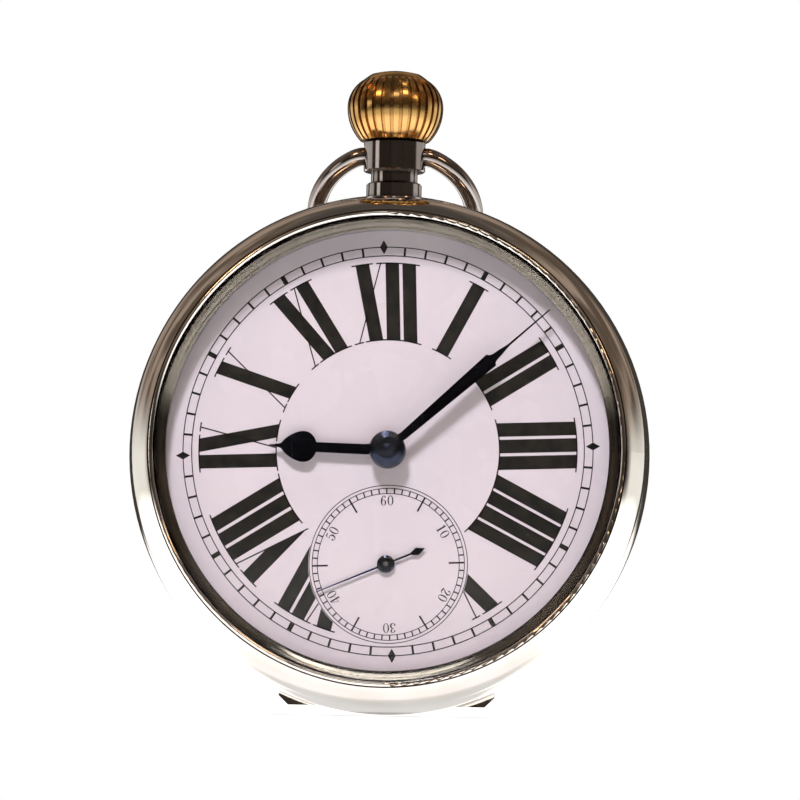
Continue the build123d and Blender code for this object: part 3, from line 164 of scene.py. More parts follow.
def polished(name, bright, dull, rough, crease_shade=None, crease_shade_reach=0.7, patch=90.0, scratch=0.4):
    """Polished metal: faint clouding, hairline scratches in two directions, and painted shade: a dark tint
    laid into the creases by an ambient occlusion mask.
    """
    made, tree, shader = new_material(name)
    shader.inputs["Metallic"].default_value = 1.0
    cloud = remap(tree, noise(tree, patch, 4.0), 0.35, 0.7)
    colour = mix_colour(tree, cloud, bright, dull)
    if crease_shade is not None:
        # painted shade: an ambient occlusion mask blends the colour towards a dark brown in creases and
        # hollows
        crease = tree.nodes.new("ShaderNodeAmbientOcclusion")
        crease.samples = 6
        crease.inputs["Distance"].default_value = crease_shade_reach * MM
        crease_shade_mask = remap(tree, crease.outputs["AO"], 0.35, 0.95, 1.0, 0.0)
        colour = mix_colour(tree, crease_shade_mask, colour, crease_shade)
    plug(tree, colour, shader.inputs["Base Color"])
    streak_a = noise(tree, 260.0, 2.0, (1, 1, 14), (0.2, 0.5, 0.3))
    streak_b = noise(tree, 300.0, 2.0, (14, 1, 1), (0.4, 0.2, 0.9))
    lines = maths(tree, "MAXIMUM", remap(tree, streak_a, 0.62, 0.72), remap(tree, streak_b, 0.64, 0.74))
    haze = remap(tree, noise(tree, patch * 2.3, 3.0), 0.3, 0.75, rough[0], rough[1])
    worn = maths(tree, "MULTIPLY", lines, scratch * 0.12)
    plug(tree, maths(tree, "ADD", haze, worn), shader.inputs["Roughness"])
    plug(tree, bump(tree, lines, 1.5e-6 * scratch), shader.inputs["Normal"])
    return made


def frosted(name, bright, dull, rough):
    """Frosted gilding: a fine even grain over soft colour change."""
    made, tree, shader = new_material(name)
    shader.inputs["Metallic"].default_value = 1.0
    cloud = remap(tree, noise(tree, 120.0, 4.0), 0.3, 0.7)
    plug(tree, mix_colour(tree, cloud, bright, dull), shader.inputs["Base Color"])
    grain = noise(tree, 9000.0, 2.0)
    plug(tree, remap(tree, grain, 0.2, 0.8, rough[0], rough[1]), shader.inputs["Roughness"])
    plug(tree, bump(tree, grain, 6e-6), shader.inputs["Normal"])
    return made


def grained(name, bright, dull, rough):
    """Straight-grained metal: long fine lines left by the finishing stone."""
    made, tree, shader = new_material(name)
    shader.inputs["Metallic"].default_value = 1.0
    lines = noise(tree, 900.0, 3.0, (1, 1, 30))
    plug(tree, mix_colour(tree, remap(tree, lines, 0.3, 0.7), bright, dull), shader.inputs["Base Color"])
    plug(tree, remap(tree, lines, 0.25, 0.75, rough[0], rough[1]), shader.inputs["Roughness"])
    plug(tree, bump(tree, lines, 2e-6), shader.inputs["Normal"])
    return made


def enamel(name):
    """Fired dial enamel: off-white with soft tone change, tiny specks and an orange-peel gloss."""
    made, tree, shader = new_material(name)
    tone = remap(tree, noise(tree, 45.0, 4.0), 0.3, 0.7)
    body = mix_colour(tree, tone, (0.80, 0.73, 0.82), (0.765, 0.70, 0.79))
    speck = remap(tree, noise(tree, 2600.0, 1.0), 0.74, 0.80, 0.0, 0.35)
    plug(tree, mix_colour(tree, speck, body, (0.50, 0.43, 0.42)), shader.inputs["Base Color"])
    plug(tree, remap(tree, noise(tree, 160.0, 2.0), 0.3, 0.7, 0.22, 0.32), shader.inputs["Roughness"])
    shader.inputs["Specular IOR Level"].default_value = 0.35
    shader.inputs["Coat Weight"].default_value = 0.3
    shader.inputs["Coat Roughness"].default_value = 0.12
    plug(tree, bump(tree, noise(tree, 700.0, 2.0), 4e-6), shader.inputs["Normal"])
    return made


def ink(name):
    """Black dial print fired into the glaze: not quite even in tone."""
    made, tree, shader = new_material(name)
    tone = remap(tree, noise(tree, 700.0, 3.0), 0.3, 0.7)
    black = mix_colour(tree, tone, (0.006, 0.006, 0.006), (0.016, 0.014, 0.012))
    plug(tree, black, shader.inputs["Base Color"])
    plug(tree, remap(tree, noise(tree, 900.0, 2.0), 0.3, 0.7, 0.35, 0.5), shader.inputs["Roughness"])
    shader.inputs["Specular IOR Level"].default_value = 0.25
    return made


def glass(name):
    """Clear watch glass with faint smears; lamps shine through it."""
    made, tree, shader = new_material(name)
    tree.nodes.remove(shader)
    output = tree.nodes["Material Output"]
    clear = node(tree, "ShaderNodeBsdfGlass", IOR=1.18)
    clear.inputs["Color"].default_value = (0.985, 0.99, 0.985, 1.0)
    smear = remap(tree, noise(tree, 70.0, 5.0), 0.45, 0.75, 0.0, 0.02)
    plug(tree, smear, clear.inputs["Roughness"])
    through = tree.nodes.new("ShaderNodeBsdfTransparent")
    through.inputs["Color"].default_value = (0.97, 0.975, 0.97, 1.0)
    path = tree.nodes.new("ShaderNodeLightPath")
    lamps = maths(tree, "MAXIMUM", path.outputs["Is Shadow Ray"], path.outputs["Is Diffuse Ray"])
    mixed = tree.nodes.new("ShaderNodeMixShader")
    plug(tree, lamps, mixed.inputs[0])
    plug(tree, clear.outputs[0], mixed.inputs[1])
    plug(tree, through.outputs[0], mixed.inputs[2])
    plug(tree, mixed.outputs[0], output.inputs["Surface"])
    return made


def jewel(name):
    """Polished synthetic ruby."""
    made, tree, shader = new_material(name)
    tone = remap(tree, noise(tree, 500.0, 3.0), 0.3, 0.7)
    plug(tree, mix_colour(tree, tone, (0.50, 0.015, 0.08), (0.62, 0.05, 0.14)), shader.inputs["Base Color"])
    plug(tree, remap(tree, noise(tree, 900.0, 2.0), 0.3, 0.7, 0.04, 0.1), shader.inputs["Roughness"])
    shader.inputs["Coat Weight"].default_value = 0.6
    return made


# dark brown painted into creases and hollows as shade
CREASE_SHADE = (0.12, 0.08, 0.05)
SILVER = polished("silver", (0.93, 0.905, 0.87), (0.86, 0.82, 0.76), (0.045, 0.10), (0.16, 0.11, 0.07), 0.6)
BEZEL = polished("bezel_silver", (0.87, 0.845, 0.81), (0.79, 0.75, 0.70), (0.045, 0.10), CREASE_SHADE, 0.8)
BACK = polished("back_silver", (0.60, 0.58, 0.555), (0.47, 0.44, 0.405), (0.14, 0.28), CREASE_SHADE, 0.8,
                patch=40.0, scratch=0.9)
NICKEL = polished("nickel", (0.46, 0.43, 0.42), (0.33, 0.29, 0.28), (0.05, 0.13), (0.05, 0.035, 0.03), 0.9)
GILT = polished("crown_gold", (0.76, 0.49, 0.18), (0.55, 0.31, 0.11), (0.12, 0.24), (0.24, 0.095, 0.03), 0.5)
DARK_BLUE, DARKER_BLUE = (0.030, 0.034, 0.055), (0.018, 0.020, 0.032)
BLUED = polished("blued_steel", DARK_BLUE, DARKER_BLUE, (0.14, 0.24), scratch=0.8)
BRIGHT_BLUE = polished("blued_seconds", DARK_BLUE, DARKER_BLUE, (0.16, 0.26), scratch=0.8)
STEEL = grained("steel", (0.62, 0.61, 0.60), (0.50, 0.50, 0.50), (0.16, 0.30))
SCREW_BLUE = polished("screw_blue", (0.07, 0.10, 0.34), (0.05, 0.07, 0.22), (0.08, 0.16))
PLATE = frosted("gilt_plate", (0.84, 0.66, 0.36), (0.74, 0.55, 0.27), (0.30, 0.42))
BRASS = grained("wheel_brass", (0.85, 0.66, 0.33), (0.72, 0.53, 0.24), (0.14, 0.26))
ENAMEL = enamel("dial_white")
INK = ink("dial_ink")
GLASS = glass("watch_glass")
RUBY = jewel("ruby")

BY_SLOT = {
    "case_silver": SILVER, "pendant_nickel": NICKEL, "crown_gilt": GILT, "crystal_glass": GLASS,
    "dial_enamel": ENAMEL, "hand_blued": BLUED, "plate_gilt": PLATE, "wheel_brass": BRASS,
    "steel": STEEL, "screw_steel": SCREW_BLUE, "ruby": RUBY,
}


NEEDLE_START, NEEDLE_BLUE = 1.2 * MM, 1.8 * MM       # from the seconds hand's pivot
NEEDLE_COLOUR = (0.035, 0.04, 0.42)
# painted shade on the bezel's inner wall: where it starts and where it is full, and its dull brown
WALL_SHADE_START, WALL_SHADE_FULL = 0.15 * MM, 0.30 * MM         # in from the glass's edge
WALL_SHADE_COLOUR = (0.27, 0.24, 0.21)


def blue_needle():
    """The seconds hand's needle was let down to a brighter blue than its boss and tail."""
    tree = BRIGHT_BLUE.node_tree
    base = tree.nodes["Principled BSDF"].inputs["Base Color"]
    low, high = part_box("fourth_arbor")
    pivot = Vector(((low[0] + high[0]) / 2, 0, (low[2] + high[2]) / 2))
    low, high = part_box("seconds_hand")
    reach = Vector((low[0] - pivot.x, 0, low[2] - pivot.z)).normalized()
    coord = tree.nodes.new("ShaderNodeTexCoord")
    start = pivot.dot(reach)
    outward = along(tree, coord.outputs["Object"], reach)
    needle = remap(tree, outward, start + NEEDLE_START, start + NEEDLE_BLUE)
    plug(tree, mix_colour(tree, needle, base.links[0].from_socket, NEEDLE_COLOUR), base)


def painted_wall_shade():
    """Painted shade: the bezel's inner wall under the glass's lip is blended towards a dull brown inward of
    the glass's edge, standing in for the shade and dark reflections there.
    """
    tree = BEZEL.node_tree
    base = tree.nodes["Principled BSDF"].inputs["Base Color"]
    low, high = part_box("crystal")
    edge = (high[0] - low[0]) / 2
    # painted shade: the wall colour darkens with distance in from the glass's edge
    wall = remap(tree, distance_from_axis(tree, (1, 0, 1)), edge - WALL_SHADE_START, edge - WALL_SHADE_FULL)
    plug(tree, mix_colour(tree, wall, base.links[0].from_socket, WALL_SHADE_COLOUR), base)


blue_needle()
painted_wall_shade()
BY_NODE = {"seconds_hand": BRIGHT_BLUE, "bezel": BEZEL, "back_cover": BACK}

for part in frame["record"]["subparts"]:
    chosen = BY_NODE.get(part["node"], BY_SLOT[part["material_slot"]])
    for place in frame["nodes"][part["node"]].material_slots:
        place.material = chosen


# --------------------------------------------------------------- dial printing

DIAL_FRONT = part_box("dial")[0][1]          # the dial's nearest surface, along Y
PRINT_RISE = 0.012 * MM
PRINT_TURN = math.radians(2.1)             # the printing sits a little anticlockwise of the case
SECONDS_CENTRE = (0.30, -14.30)
SECONDS_CLEAR = 10.07
NUMERAL_IN, NUMERAL_OUT = 14.0, 23.9
STROKE, GAP, SERIF, SERIF_REACH, HAIR = 1.72, 0.38, 0.17, 0.50, 0.17


def on_print(x, z):
    """A point of the printing, in mm from the dial's centre, turned with the print."""
    s, c = math.sin(PRINT_TURN), math.cos(PRINT_TURN)
    return (x * c - z * s, x * s + z * c)


def clock(angle, r, u=0.0):
    """A point at radius r and sideways offset u on the line of a clockwise angle from 12."""
    s, c = math.sin(angle), math.cos(angle)
    return (r * s + u * c, r * c - u * s)


class Print:
    """Flat printed shapes gathered as one mesh of thin closed slabs."""

    def __init__(self):
        self.points, self.faces = [], []

    def slab(self, left, right):
        """The strip between two lines of points, as a closed slab."""
        n = len(left)
        start = len(self.points)
        for rise in (PRINT_RISE, -PRINT_RISE):
            for x, z in left + right:
                self.points.append((x * MM, DIAL_FRONT - rise, z * MM))
        top, low = start, start + 2 * n
        for i in range(n - 1):
            a, b, c, d = i, i + 1, n + i + 1, n + i
            self.faces.append((top + a, top + b, top + c, top + d))
            self.faces.append((low + d, low + c, low + b, low + a))
            self.faces.append((top + b, top + a, low + a, low + b))
            self.faces.append((top + d, top + c, low + c, low + d))
        for a, b in ((0, n), (2 * n - 1, n - 1)):
            self.faces.append((top + a, top + b, low + b, low + a))

    def ring(self, centre, radius, width, steps=240):
        """A full circle line."""
        inside, outside = [], []
        for i in range(steps + 1):
            s, c = math.sin(i * math.tau / steps), math.cos(i * math.tau / steps)
            inside.append((centre[0] + (radius - width / 2) * s, centre[1] + (radius - width / 2) * c))
            outside.append((centre[0] + (radius + width / 2) * s, centre[1] + (radius + width / 2) * c))
        self.slab(inside, outside)

    def piece(self, name):
        """The gathered shapes as one printed piece that stays with the case."""
        mesh = bpy.data.meshes.new(name)
        mesh.from_pydata(self.points, [], self.faces)
        mesh.validate()
        mesh.materials.append(INK)
        made = bpy.data.objects.new(name, mesh)
        bpy.context.scene.collection.objects.link(made)
        work = bmesh.new()
        work.from_mesh(mesh)
        bmesh.ops.remove_doubles(work, verts=work.verts, dist=1e-9)
        bmesh.ops.recalc_face_normals(work, faces=work.faces)
        work.to_mesh(mesh)
        work.free()
        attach(made, "case")


def turned(points):
    return [on_print(x, z) for x, z in points]


def clipped(inner, outer):
    """The line from inner to outer, starting where it leaves the seconds dial."""
    cx, cz = SECONDS_CENTRE
    ix, iz = on_print(*inner)
    ox, oz = on_print(*outer)
    dx, dz = ox - ix, oz - iz
    a = dx * dx + dz * dz
    b = 2 * (dx * (ix - cx) + dz * (iz - cz))
    c = (ix - cx) ** 2 + (iz - cz) ** 2 - SECONDS_CLEAR**2
    disc = b * b - 4 * a * c
    if disc > 0:
        leave = (-b + math.sqrt(disc)) / (2 * a)
        if leave >= 1:
            return None
        if leave > 0:
            ix, iz = ix + dx * leave, iz + dz * leave
    return (ix, iz), (ox, oz)


def end_point(angle, u, r):
    """The point at sideways offset u whose distance from the centre is r."""
    return clock(angle, math.sqrt(r * r - u * u), u)


def stroke(page, angle, in_left, in_right, out_left, out_right, parts=6):
    """A numeral stroke whose ends follow the numerals' circles, cut off at the seconds dial."""
    lows, highs = [], []
    for i in range(parts + 1):
        k = i / parts
        line = clipped(end_point(angle, in_left + (in_right - in_left) * k, NUMERAL_IN),
                       end_point(angle, out_left + (out_right - out_left) * k, NUMERAL_OUT))
        if line is None:
            continue
        lows.append(line[0])
        highs.append(line[1])
    if len(lows) > 1:
        page.slab(lows, highs)


def serif(page, angle, left, right, r, parts=14):
    """The fine line along a circle that closes the ends of a group of strokes."""
    thick = SERIF if r == NUMERAL_OUT else -SERIF
    left_u, right_u = left - SERIF_REACH, right + SERIF_REACH
    lows, highs = [], []
    for i in range(parts + 1):
        u = left_u + (right_u - left_u) * i / parts
        a = on_print(*end_point(angle, u, r))
        if math.dist(a, SECONDS_CENTRE) < SECONDS_CLEAR + 0.1:
            if len(lows) > 1:
                page.slab(lows, highs)
            lows, highs = [], []
            continue
        lows.append(a)
        highs.append(on_print(*end_point(angle, u, r - thick)))
    if len(lows) > 1:
        page.slab(lows, highs)


X_FOOT = 1.65      # how far an X's thick stroke shifts from its outer to its inner end
X_THIN = 3.30      # where an X's thin stroke starts at the outer end
X_THIN_FOOT = 0.25  # and where it ends at the inner end
V_TOP, V_THIN, V_TIP = 1.88, 3.40, 2.50


def numeral(page, angle, shapes):
    """shapes lists (letter, left edge at the outer circle) from left to right."""
    angle = math.radians(angle)
    tops, feet = [], []
    for letter, at in shapes:
        if letter == "I":
            stroke(page, angle, at, at + STROKE, at, at + STROKE)
            tops.append((at, at + STROKE))
            feet.append((at, at + STROKE))
        elif letter == "X":
            stroke(page, angle, at + X_FOOT, at + X_FOOT + STROKE, at, at + STROKE)
            stroke(page, angle, at + X_THIN_FOOT, at + X_THIN_FOOT + HAIR, at + X_THIN - HAIR, at + X_THIN, 1)
            tops.append((at, at + STROKE))
            tops.append((at + X_THIN - HAIR, at + X_THIN))
            feet.append((at + X_THIN_FOOT, at + X_THIN_FOOT + HAIR))
            feet.append((at + X_FOOT, at + X_FOOT + STROKE))
        else:
            thick_v(page, angle, at)
            stroke(page, angle, at + V_TIP - HAIR, at + V_TIP, at + V_THIN - HAIR, at + V_THIN, 1)
            tops.append((at, at + V_TOP))
            tops.append((at + V_THIN - HAIR, at + V_THIN))
    for spans, r in ((tops, NUMERAL_OUT), (feet, NUMERAL_IN)):
        merged = []
        for span in sorted(spans):
            if merged and span[0] - merged[-1][1] < 2 * GAP:
                merged[-1] = (merged[-1][0], max(merged[-1][1], span[1]))
            else:
                merged.append(span)
        for left, right in merged:
            serif(page, angle, left, right, r)


def thick_v(page, angle, at):
    """A V's thick stroke: its inner end runs out along the thin stroke to a tip."""
    lows, highs = [], []
    parts = 8
    tip = Vector(end_point(angle, at + V_TIP, NUMERAL_IN))
    thin_top = Vector(end_point(angle, at + V_THIN, NUMERAL_OUT))
    corner = Vector(end_point(angle, at, NUMERAL_OUT))
    run = tip - corner
    thin = thin_top - tip
    for i in range(parts + 1):
        out = Vector(end_point(angle, at + V_TOP * i / parts, NUMERAL_OUT))
        # where the line out + s * run meets the thin stroke's line tip + t * thin
        base = tip - out
        cross = run.x * thin.y - run.y * thin.x
        s = (base.x * thin.y - base.y * thin.x) / cross
        line = clipped(tuple(out + run * s), tuple(out))
        if line is None:
            continue
        lows.append(line[0])
        highs.append(line[1])
    if len(lows) > 1:
        page.slab(lows, highs)


hours = Print()
numeral(hours, 0, [("X", -3.65), ("I", 0.15), ("I", 2.28)])
numeral(hours, 30, [("I", -0.86)])
numeral(hours, 60, [("I", -1.91), ("I", 0.19)])
numeral(hours, 90, [("I", -3.20), ("I", -1.10), ("I", 1.00)])
numeral(hours, 120, [("I", -4.05), ("I", -2.00), ("I", 0.05), ("I", 2.10)])
numeral(hours, 150, [("V", -1.95)])
numeral(hours, 210, [("V", -4.71), ("I", -1.03), ("I", 1.07)])
numeral(hours, 240, [("V", -5.60), ("I", -1.74), ("I", 0.38), ("I", 2.50)])
numeral(hours, 270, [("I", -1.70), ("X", 0.38)])
numeral(hours, 300, [("X", -1.81)])
numeral(hours, 330, [("X", -2.65), ("I", 0.78)])
hours.piece("hour_numerals")

TRACK_OUT, TRACK_IN, TRACK_LINE = 25.84, 24.74, 0.13
DIAMOND_LONG, DIAMOND_WIDE, DIAMOND_POINT = 0.90, 0.50, 0.01
FIVE_HALF, MINUTE_HALF = 0.30, 0.14        # half widths of the marks between the track's two rings
minutes = Print()
minutes.ring((0, 0), TRACK_OUT, TRACK_LINE)
minutes.ring((0, 0), TRACK_IN, TRACK_LINE)
for minute in range(60):
    angle = math.radians(6 * minute)
    if minute % 15 == 0:
        near, far = TRACK_OUT - DIAMOND_LONG, TRACK_OUT + DIAMOND_LONG
        lows = turned([clock(angle, near), clock(angle, TRACK_OUT, -DIAMOND_WIDE), clock(angle, far)])
        highs = turned([clock(angle, near, DIAMOND_POINT), clock(angle, TRACK_OUT, DIAMOND_WIDE),
                        clock(angle, far, DIAMOND_POINT)])
        minutes.slab(lows, highs)
        continue
    half = FIVE_HALF if minute % 5 == 0 else MINUTE_HALF
    minutes.slab(turned([clock(angle, TRACK_IN, -half), clock(angle, TRACK_OUT, -half)]),
                 turned([clock(angle, TRACK_IN, half), clock(angle, TRACK_OUT, half)]))
minutes.piece("minute_track")


def smooth(points, steps=6):
    """Catmull-Rom through (x, y, width) points."""
    ends = [points[0]] + list(points) + [points[-1]]
    out = []
    for i in range(1, len(ends) - 2):
        for k in range(steps):
            t = k / steps
            near = zip(ends[i - 1], ends[i], ends[i + 1], ends[i + 2])
            out.append(tuple(
                0.5 * (2 * b + (c - a) * t + (2 * a - 5 * b + 4 * c - d) * t * t
                       + (3 * b - a - 3 * c + d) * t**3)
                for a, b, c, d in near))
    out.append(points[-1])
    return out


def ribbon(page, place, points):
    """A stroke of changing width along a smooth line, in digit units."""
    line = smooth(points) if len(points) > 2 else list(points)
    left, right = [], []
    for i, (x, y, w) in enumerate(line):
        a, b = line[max(i - 1, 0)], line[min(i + 1, len(line) - 1)]
        d = math.dist(a[:2], b[:2]) or 1.0
        nx, ny = -(b[1] - a[1]) / d * w / 2, (b[0] - a[0]) / d * w / 2
        left.append(place(x + nx, y + ny))
        right.append(place(x - nx, y - ny))
    page.slab(left, right)


def oval(page, place, centre, outer, inner, steps=32):
    """A ring between two ellipses, or a disc where inner is (0, 0)."""
    lows, highs = [], []
    for i in range(steps + 1):
        s, c = math.sin(i * math.tau / steps), math.cos(i * math.tau / steps)
        lows.append(place(centre[0] + inner[0] * s, centre[1] + inner[1] * c))
        highs.append(place(centre[0] + outer[0] * s, centre[1] + outer[1] * c))
    page.slab(lows, highs)


def digit(page, place, which):
    """One digit in a didone style, in a box 0.62 wide and 1 high."""
    dot = 0.002
    if which == 0:
        oval(page, place, (0.31, 0.5), (0.30, 0.50), (0.17, 0.46))
    elif which == 1:
        ribbon(page, place, [(0.33, 0, 0.15), (0.33, 1, 0.15)])
        ribbon(page, place, [(0.13, 0.02, 0.045), (0.53, 0.02, 0.045)])
        ribbon(page, place, [(0.30, 0.96, 0.08), (0.14, 0.80, 0.04)])
    elif which == 2:
        ribbon(page, place, [(0.08, 0.76, 0.04), (0.15, 0.93, 0.04), (0.30, 0.98, 0.05), (0.46, 0.89, 0.11),
                             (0.49, 0.72, 0.15), (0.38, 0.48, 0.12), (0.20, 0.26, 0.07), (0.07, 0.06, 0.04)])
        ribbon(page, place, [(0.06, 0.05, 0.05), (0.20, 0.10, 0.12), (0.38, 0.06, 0.13), (0.52, 0.08, 0.06),
                             (0.57, 0.22, 0.04)])
        oval(page, place, (0.13, 0.75), (0.085, 0.085), (dot, dot), 16)
    elif which == 3:
        ribbon(page, place, [(0.10, 0.84, 0.04), (0.19, 0.95, 0.04), (0.32, 0.98, 0.05), (0.46, 0.89, 0.11),
                             (0.47, 0.73, 0.13), (0.38, 0.58, 0.07), (0.24, 0.53, 0.04)])
        ribbon(page, place, [(0.24, 0.53, 0.04), (0.42, 0.50, 0.08), (0.53, 0.29, 0.16), (0.44, 0.07, 0.10),
                             (0.28, 0.02, 0.05), (0.13, 0.06, 0.04), (0.07, 0.18, 0.04)])
        oval(page, place, (0.15, 0.80), (0.08, 0.08), (dot, dot), 16)
        oval(page, place, (0.13, 0.20), (0.085, 0.085), (dot, dot), 16)
    elif which == 4:
        ribbon(page, place, [(0.42, 0, 0.14), (0.42, 1, 0.14)])
        ribbon(page, place, [(0.38, 0.98, 0.045), (0.03, 0.30, 0.045)])
        ribbon(page, place, [(0.03, 0.29, 0.05), (0.60, 0.29, 0.05)])
        ribbon(page, place, [(0.26, 0.02, 0.045), (0.58, 0.02, 0.045)])
    elif which == 5:
        ribbon(page, place, [(0.13, 0.94, 0.06), (0.30, 0.91, 0.12), (0.50, 0.97, 0.04)])
        ribbon(page, place, [(0.14, 0.95, 0.04), (0.12, 0.52, 0.04)])
        ribbon(page, place, [(0.12, 0.53, 0.04), (0.28, 0.61, 0.05), (0.47, 0.52, 0.11), (0.53, 0.30, 0.16),
                             (0.44, 0.07, 0.10), (0.27, 0.02, 0.05), (0.11, 0.07, 0.04), (0.07, 0.18, 0.04)])
        oval(page, place, (0.13, 0.20), (0.085, 0.085), (dot, dot), 16)
    elif which == 6:
        oval(page, place, (0.31, 0.30), (0.26, 0.30), (0.13, 0.265))
        ribbon(page, place, [(0.11, 0.28, 0.10), (0.12, 0.58, 0.14), (0.22, 0.86, 0.10), (0.37, 0.98, 0.05),
                             (0.50, 0.92, 0.04)])
        oval(page, place, (0.47, 0.86), (0.075, 0.075), (dot, dot), 16)


def number(page, angle, text, centre, middle_r, height):
    """A two-figure number standing on the side of its circle that faces the centre."""
    turn = math.radians(angle) - PRINT_TURN
    pitch = 0.70 * height
    for i, letter in enumerate(text):
        start = (i - len(text) / 2) * pitch + 0.04 * height

        def place(x, y, start=start):
            px, pz = clock(turn, middle_r + (y - 0.5) * height, start + x * height)
            return (centre[0] + px, centre[1] + pz)

        digit(page, place, int(letter))


SMALL_OUT, SMALL_MID, SMALL_IN, LONG_TICK_IN = 9.97, 9.58, 8.93, 7.60
SMALL_LINE, LONG_HALF, TICK_HALF = 0.10, 0.11, 0.085
FIGURE_RADIUS, FIGURE_HEIGHT = 8.05, 1.25
seconds = Print()
for radius in (SMALL_OUT, SMALL_MID, SMALL_IN):
    seconds.ring(SECONDS_CENTRE, radius, SMALL_LINE, 180)
for second in range(60):
    turn = math.radians(6 * second) - PRINT_TURN
    long = second % 10 == 5
    half = LONG_HALF if long else TICK_HALF
    inner = LONG_TICK_IN if long else SMALL_IN
    ends = []
    for side in (-half, half):
        ends.append([(SECONDS_CENTRE[0] + x, SECONDS_CENTRE[1] + z)
                     for x, z in (clock(turn, inner, side), clock(turn, SMALL_MID, side))])
    seconds.slab(ends[0], ends[1])
for index, text in enumerate(("60", "10", "20", "30", "40", "50")):
    number(seconds, 60 * index, text, SECONDS_CENTRE, FIGURE_RADIUS, FIGURE_HEIGHT)
seconds.piece("seconds_track")


# ---------------------------------------------------------------- set and light

scene = bpy.context.scene
scene.view_settings.view_transform = "Standard"
scene.cycles.use_denoising = True
scene.cycles.max_bounces = 16
scene.cycles.transmission_bounces = 12
scene.cycles.caustics_reflective = False
scene.cycles.caustics_refractive = False

LEAN = math.radians(3.8)                   # the floor tips this much, since the watch leans back on it
FLOOR_EDGE = 0.36
FLOOR_RINGS, FLOOR_SPOKES = 24, 96
FLOOR_DROP = 0.2 * MM                      # clear air between the case and the floor
FADE_START, FADE_END = 0.12, 0.33          # the floor thins out to nothing between these distances
mesh = bpy.data.meshes.new("floor")
points = [(0.0, 0.0, 0.0)]
for i in range(1, FLOOR_RINGS + 1):
    r = FLOOR_EDGE * (i / FLOOR_RINGS) ** 2
    for j in range(FLOOR_SPOKES):
        turn = j * math.tau / FLOOR_SPOKES
        points.append((r * math.cos(turn), r * math.sin(turn), 0.0))
faces = [(0, 1 + j, 1 + (j + 1) % FLOOR_SPOKES) for j in range(FLOOR_SPOKES)]
for i in range(FLOOR_RINGS - 1):
    a = 1 + i * FLOOR_SPOKES
    b = a + FLOOR_SPOKES
    for j in range(FLOOR_SPOKES):
        k = (j + 1) % FLOOR_SPOKES
        faces.append((a + j, b + j, b + k, a + k))
mesh.from_pydata(points, [], faces)
floor = bpy.data.objects.new("floor", mesh)
scene.collection.objects.link(floor)
case_low, case_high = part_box("case_middle")
foot = Vector(((case_low[0] + case_high[0]) / 2, (case_low[1] + case_high[1]) / 2, case_low[2] - FLOOR_DROP))
floor.matrix_world = Matrix.Translation(foot) @ Matrix.Rotation(LEAN, 4, "X")
floor_paint, tree, shader = new_material("floor_paint")
tone = remap(tree, noise(tree, 12.0, 3.0), 0.3, 0.7)
pale = mix_colour(tree, tone, (0.62, 0.615, 0.60), (0.60, 0.595, 0.58))
plug(tree, pale, shader.inputs["Base Color"])
shader.inputs["Roughness"].default_value = 0.75
shader.inputs["Emission Color"].default_value = (1.0, 0.99, 0.975, 1.0)
path = tree.nodes.new("ShaderNodeLightPath")
glow = remap(tree, path.outputs["Is Diffuse Ray"], 0.0, 1.0, 0.75, 0.10)
plug(tree, glow, shader.inputs["Emission Strength"])
away = distance_from_axis(tree, (1, 1, 1))
plug(tree, remap(tree, away, FADE_START, FADE_END, 1.0, 0.0), shader.inputs["Alpha"])
mesh.materials.append(floor_paint)


def lamp(name, place, aim, width, power, colour):
    """A round soft lamp that does not show in mirrors."""
    data = bpy.data.lights.new(name, "AREA")
    data.shape = "DISK"
    data.size = width
    data.energy = power
    data.color = colour
    made = bpy.data.objects.new(name, data)
    scene.collection.objects.link(made)
    made.location = place
    made.rotation_mode = "QUATERNION"
    made.rotation_quaternion = (Vector(aim) - Vector(place)).to_track_quat("-Z", "Y")
    made.visible_glossy = False


centre = Vector(((cad_low[0] + cad_high[0]) / 2, (cad_low[1] + cad_high[1]) / 2, 0.0))
lamp("key", (-0.10, -0.46, 0.52), centre, 0.14, 4.2, (1.0, 0.94, 0.97))
lamp("over_floor", (0.0, 0.25, 0.9), (0.0, 0.25, -0.03), 1.0, 14.0, (1.0, 0.99, 0.98))

FILL = 0.38                                # how much of the surroundings reaches matt surfaces
CREAM_WALL, CREAM_FLOOR = (0.95, 0.93, 0.87), (0.88, 0.87, 0.80)
HIGH_DARK, HIGH_PALE = (0.11, 0.080, 0.058), (0.36, 0.28, 0.225)
ROOM_LOW, ROOM_DARK, ROOM_PALE = (0.030, 0.024, 0.019), (0.075, 0.055, 0.040), (0.25, 0.185, 0.14)
CEILING = (0.07, 0.058, 0.05)
SPOTS = (                                  # direction, half width in degrees, soft edge, light
    ((-0.03, 0.995, 0.09), 27, 1.12, (0.05, 0.042, 0.036)),
    ((-0.55, -0.55, 0.62), 6, 1.3, (6.0, 3.7, 1.9)),
    ((0.35, -0.62, 0.70), 5, 1.3, (7.0, 4.8, 2.8)),
    ((0.72, -0.45, 0.42), 4, 1.3, (6.0, 3.8, 2.1)),
    ((-0.80, -0.35, 0.10), 6, 1.5, (1.2, 1.1, 1.0)),
    ((0.02, -0.80, 0.60), 6, 1.4, (2.0, 1.8, 1.5)),
    ((0.25, -0.10, 0.95), 4, 1.4, (3.0, 2.2, 1.6)),
)


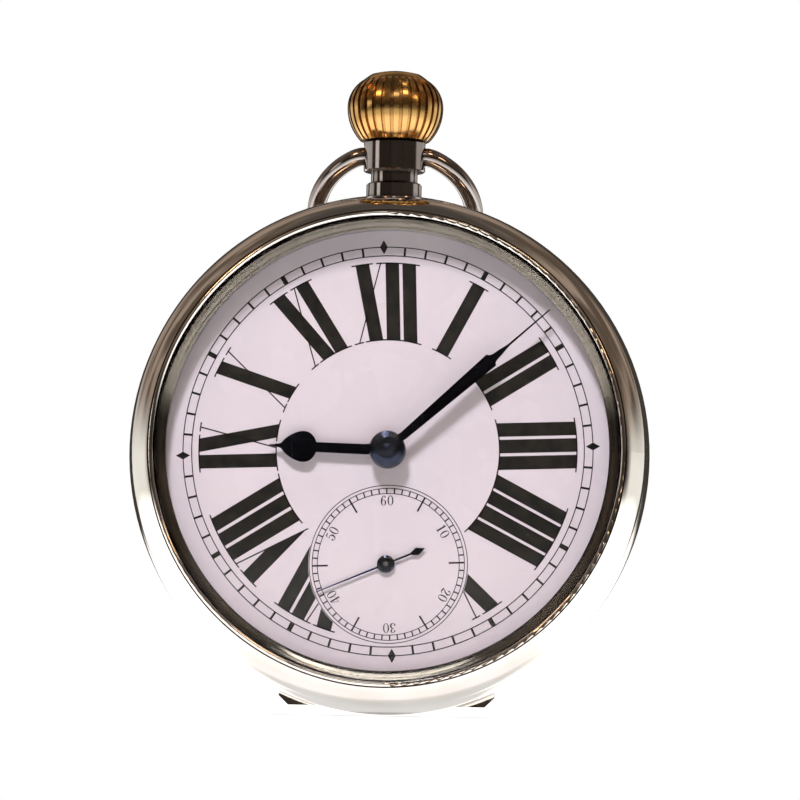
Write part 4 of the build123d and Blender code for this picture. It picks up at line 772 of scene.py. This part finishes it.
def build_world():
    """A pale wall behind the watch, a dim warm room in front of it, and a few warm lamps."""
    world = bpy.data.worlds.new("studio")
    scene.world = world
    world.use_nodes = True
    tree = world.node_tree
    background = tree.nodes["Background"]
    coord = tree.nodes.new("ShaderNodeTexCoord")
    split = tree.nodes.new("ShaderNodeSeparateXYZ")
    plug(tree, coord.outputs["Generated"], split.inputs[0])
    z = split.outputs["Z"]
    behind = remap(tree, split.outputs["Y"], -0.06, 0.10)
    above = remap(tree, z, 0.02, 0.30)
    below = remap(tree, z, -0.02, -0.22)
    clutter = node(tree, "ShaderNodeTexNoise", Scale=3.2, Detail=2.0)
    plug(tree, coord.outputs["Generated"], clutter.inputs["Vector"])
    patches = remap(tree, clutter.outputs["Fac"], 0.38, 0.62)
    high_room = mix_colour(tree, patches, ROOM_DARK, ROOM_PALE)
    room = mix_colour(tree, remap(tree, z, 0.0, 0.5), ROOM_LOW, high_room)
    high_wall = mix_colour(tree, patches, HIGH_DARK, HIGH_PALE)
    wall = mix_colour(tree, above, CREAM_WALL, high_wall)
    colour = mix_colour(tree, behind, room, wall)
    colour = mix_colour(tree, below, colour, CREAM_FLOOR)
    colour = mix_colour(tree, remap(tree, z, 0.80, 0.96), colour, CEILING)
    for direction, size, soft, light in SPOTS:
        toward = along(tree, coord.outputs["Generated"], Vector(direction).normalized())
        spot = remap(tree, toward, math.cos(math.radians(size * soft)), math.cos(math.radians(size)))
        colour = mix_colour(tree, spot, colour, light)
    path = tree.nodes.new("ShaderNodeLightPath")
    dimmed = mix_colour(tree, FILL, (0.0, 0.0, 0.0), colour)
    lit = mix_colour(tree, path.outputs["Is Diffuse Ray"], colour, dimmed)
    seen = mix_colour(tree, path.outputs["Is Camera Ray"], lit, (1.0, 1.0, 1.0))
    plug(tree, seen, background.inputs["Color"])
    background.inputs["Strength"].default_value = 1.0


build_world()

# ---------------------------------------------------------------------- camera

DISTANCE = 1.0
FIELD = 0.1014                             # width seen at the watch, in metres
YAW, PITCH, ROLL = math.radians(2.0), math.radians(5.5), math.radians(1.0)
AIM_RIGHT, AIM_UP = 0.00137, 0.00691       # how far right of and above the case's middle the lens points
right = Vector((math.cos(YAW), math.sin(YAW), 0))
ahead = Vector((-math.sin(YAW) * math.cos(PITCH), math.cos(YAW) * math.cos(PITCH), math.sin(PITCH)))
up = right.cross(ahead)
right, up = right * math.cos(ROLL) + up * math.sin(ROLL), up * math.cos(ROLL) - right * math.sin(ROLL)
middle = Vector((0, (case_low[1] + case_high[1]) / 2, 0))
data = bpy.data.cameras.new("camera")
data.sensor_width = 36.0
data.lens = data.sensor_width * DISTANCE / FIELD
data.clip_start, data.clip_end = 0.01, 20.0
camera = bpy.data.objects.new("camera", data)
scene.collection.objects.link(camera)
spot = middle + right * AIM_RIGHT + up * AIM_UP - ahead * DISTANCE
camera.matrix_world = Matrix((
    (right.x, up.x, -ahead.x, spot.x),
    (right.y, up.y, -ahead.y, spot.y),
    (right.z, up.z, -ahead.z, spot.z),
    (0, 0, 0, 1),
))
scene.camera = camera

# ------------------------------------------------------------------------ update

bpy.context.view_layer.update()
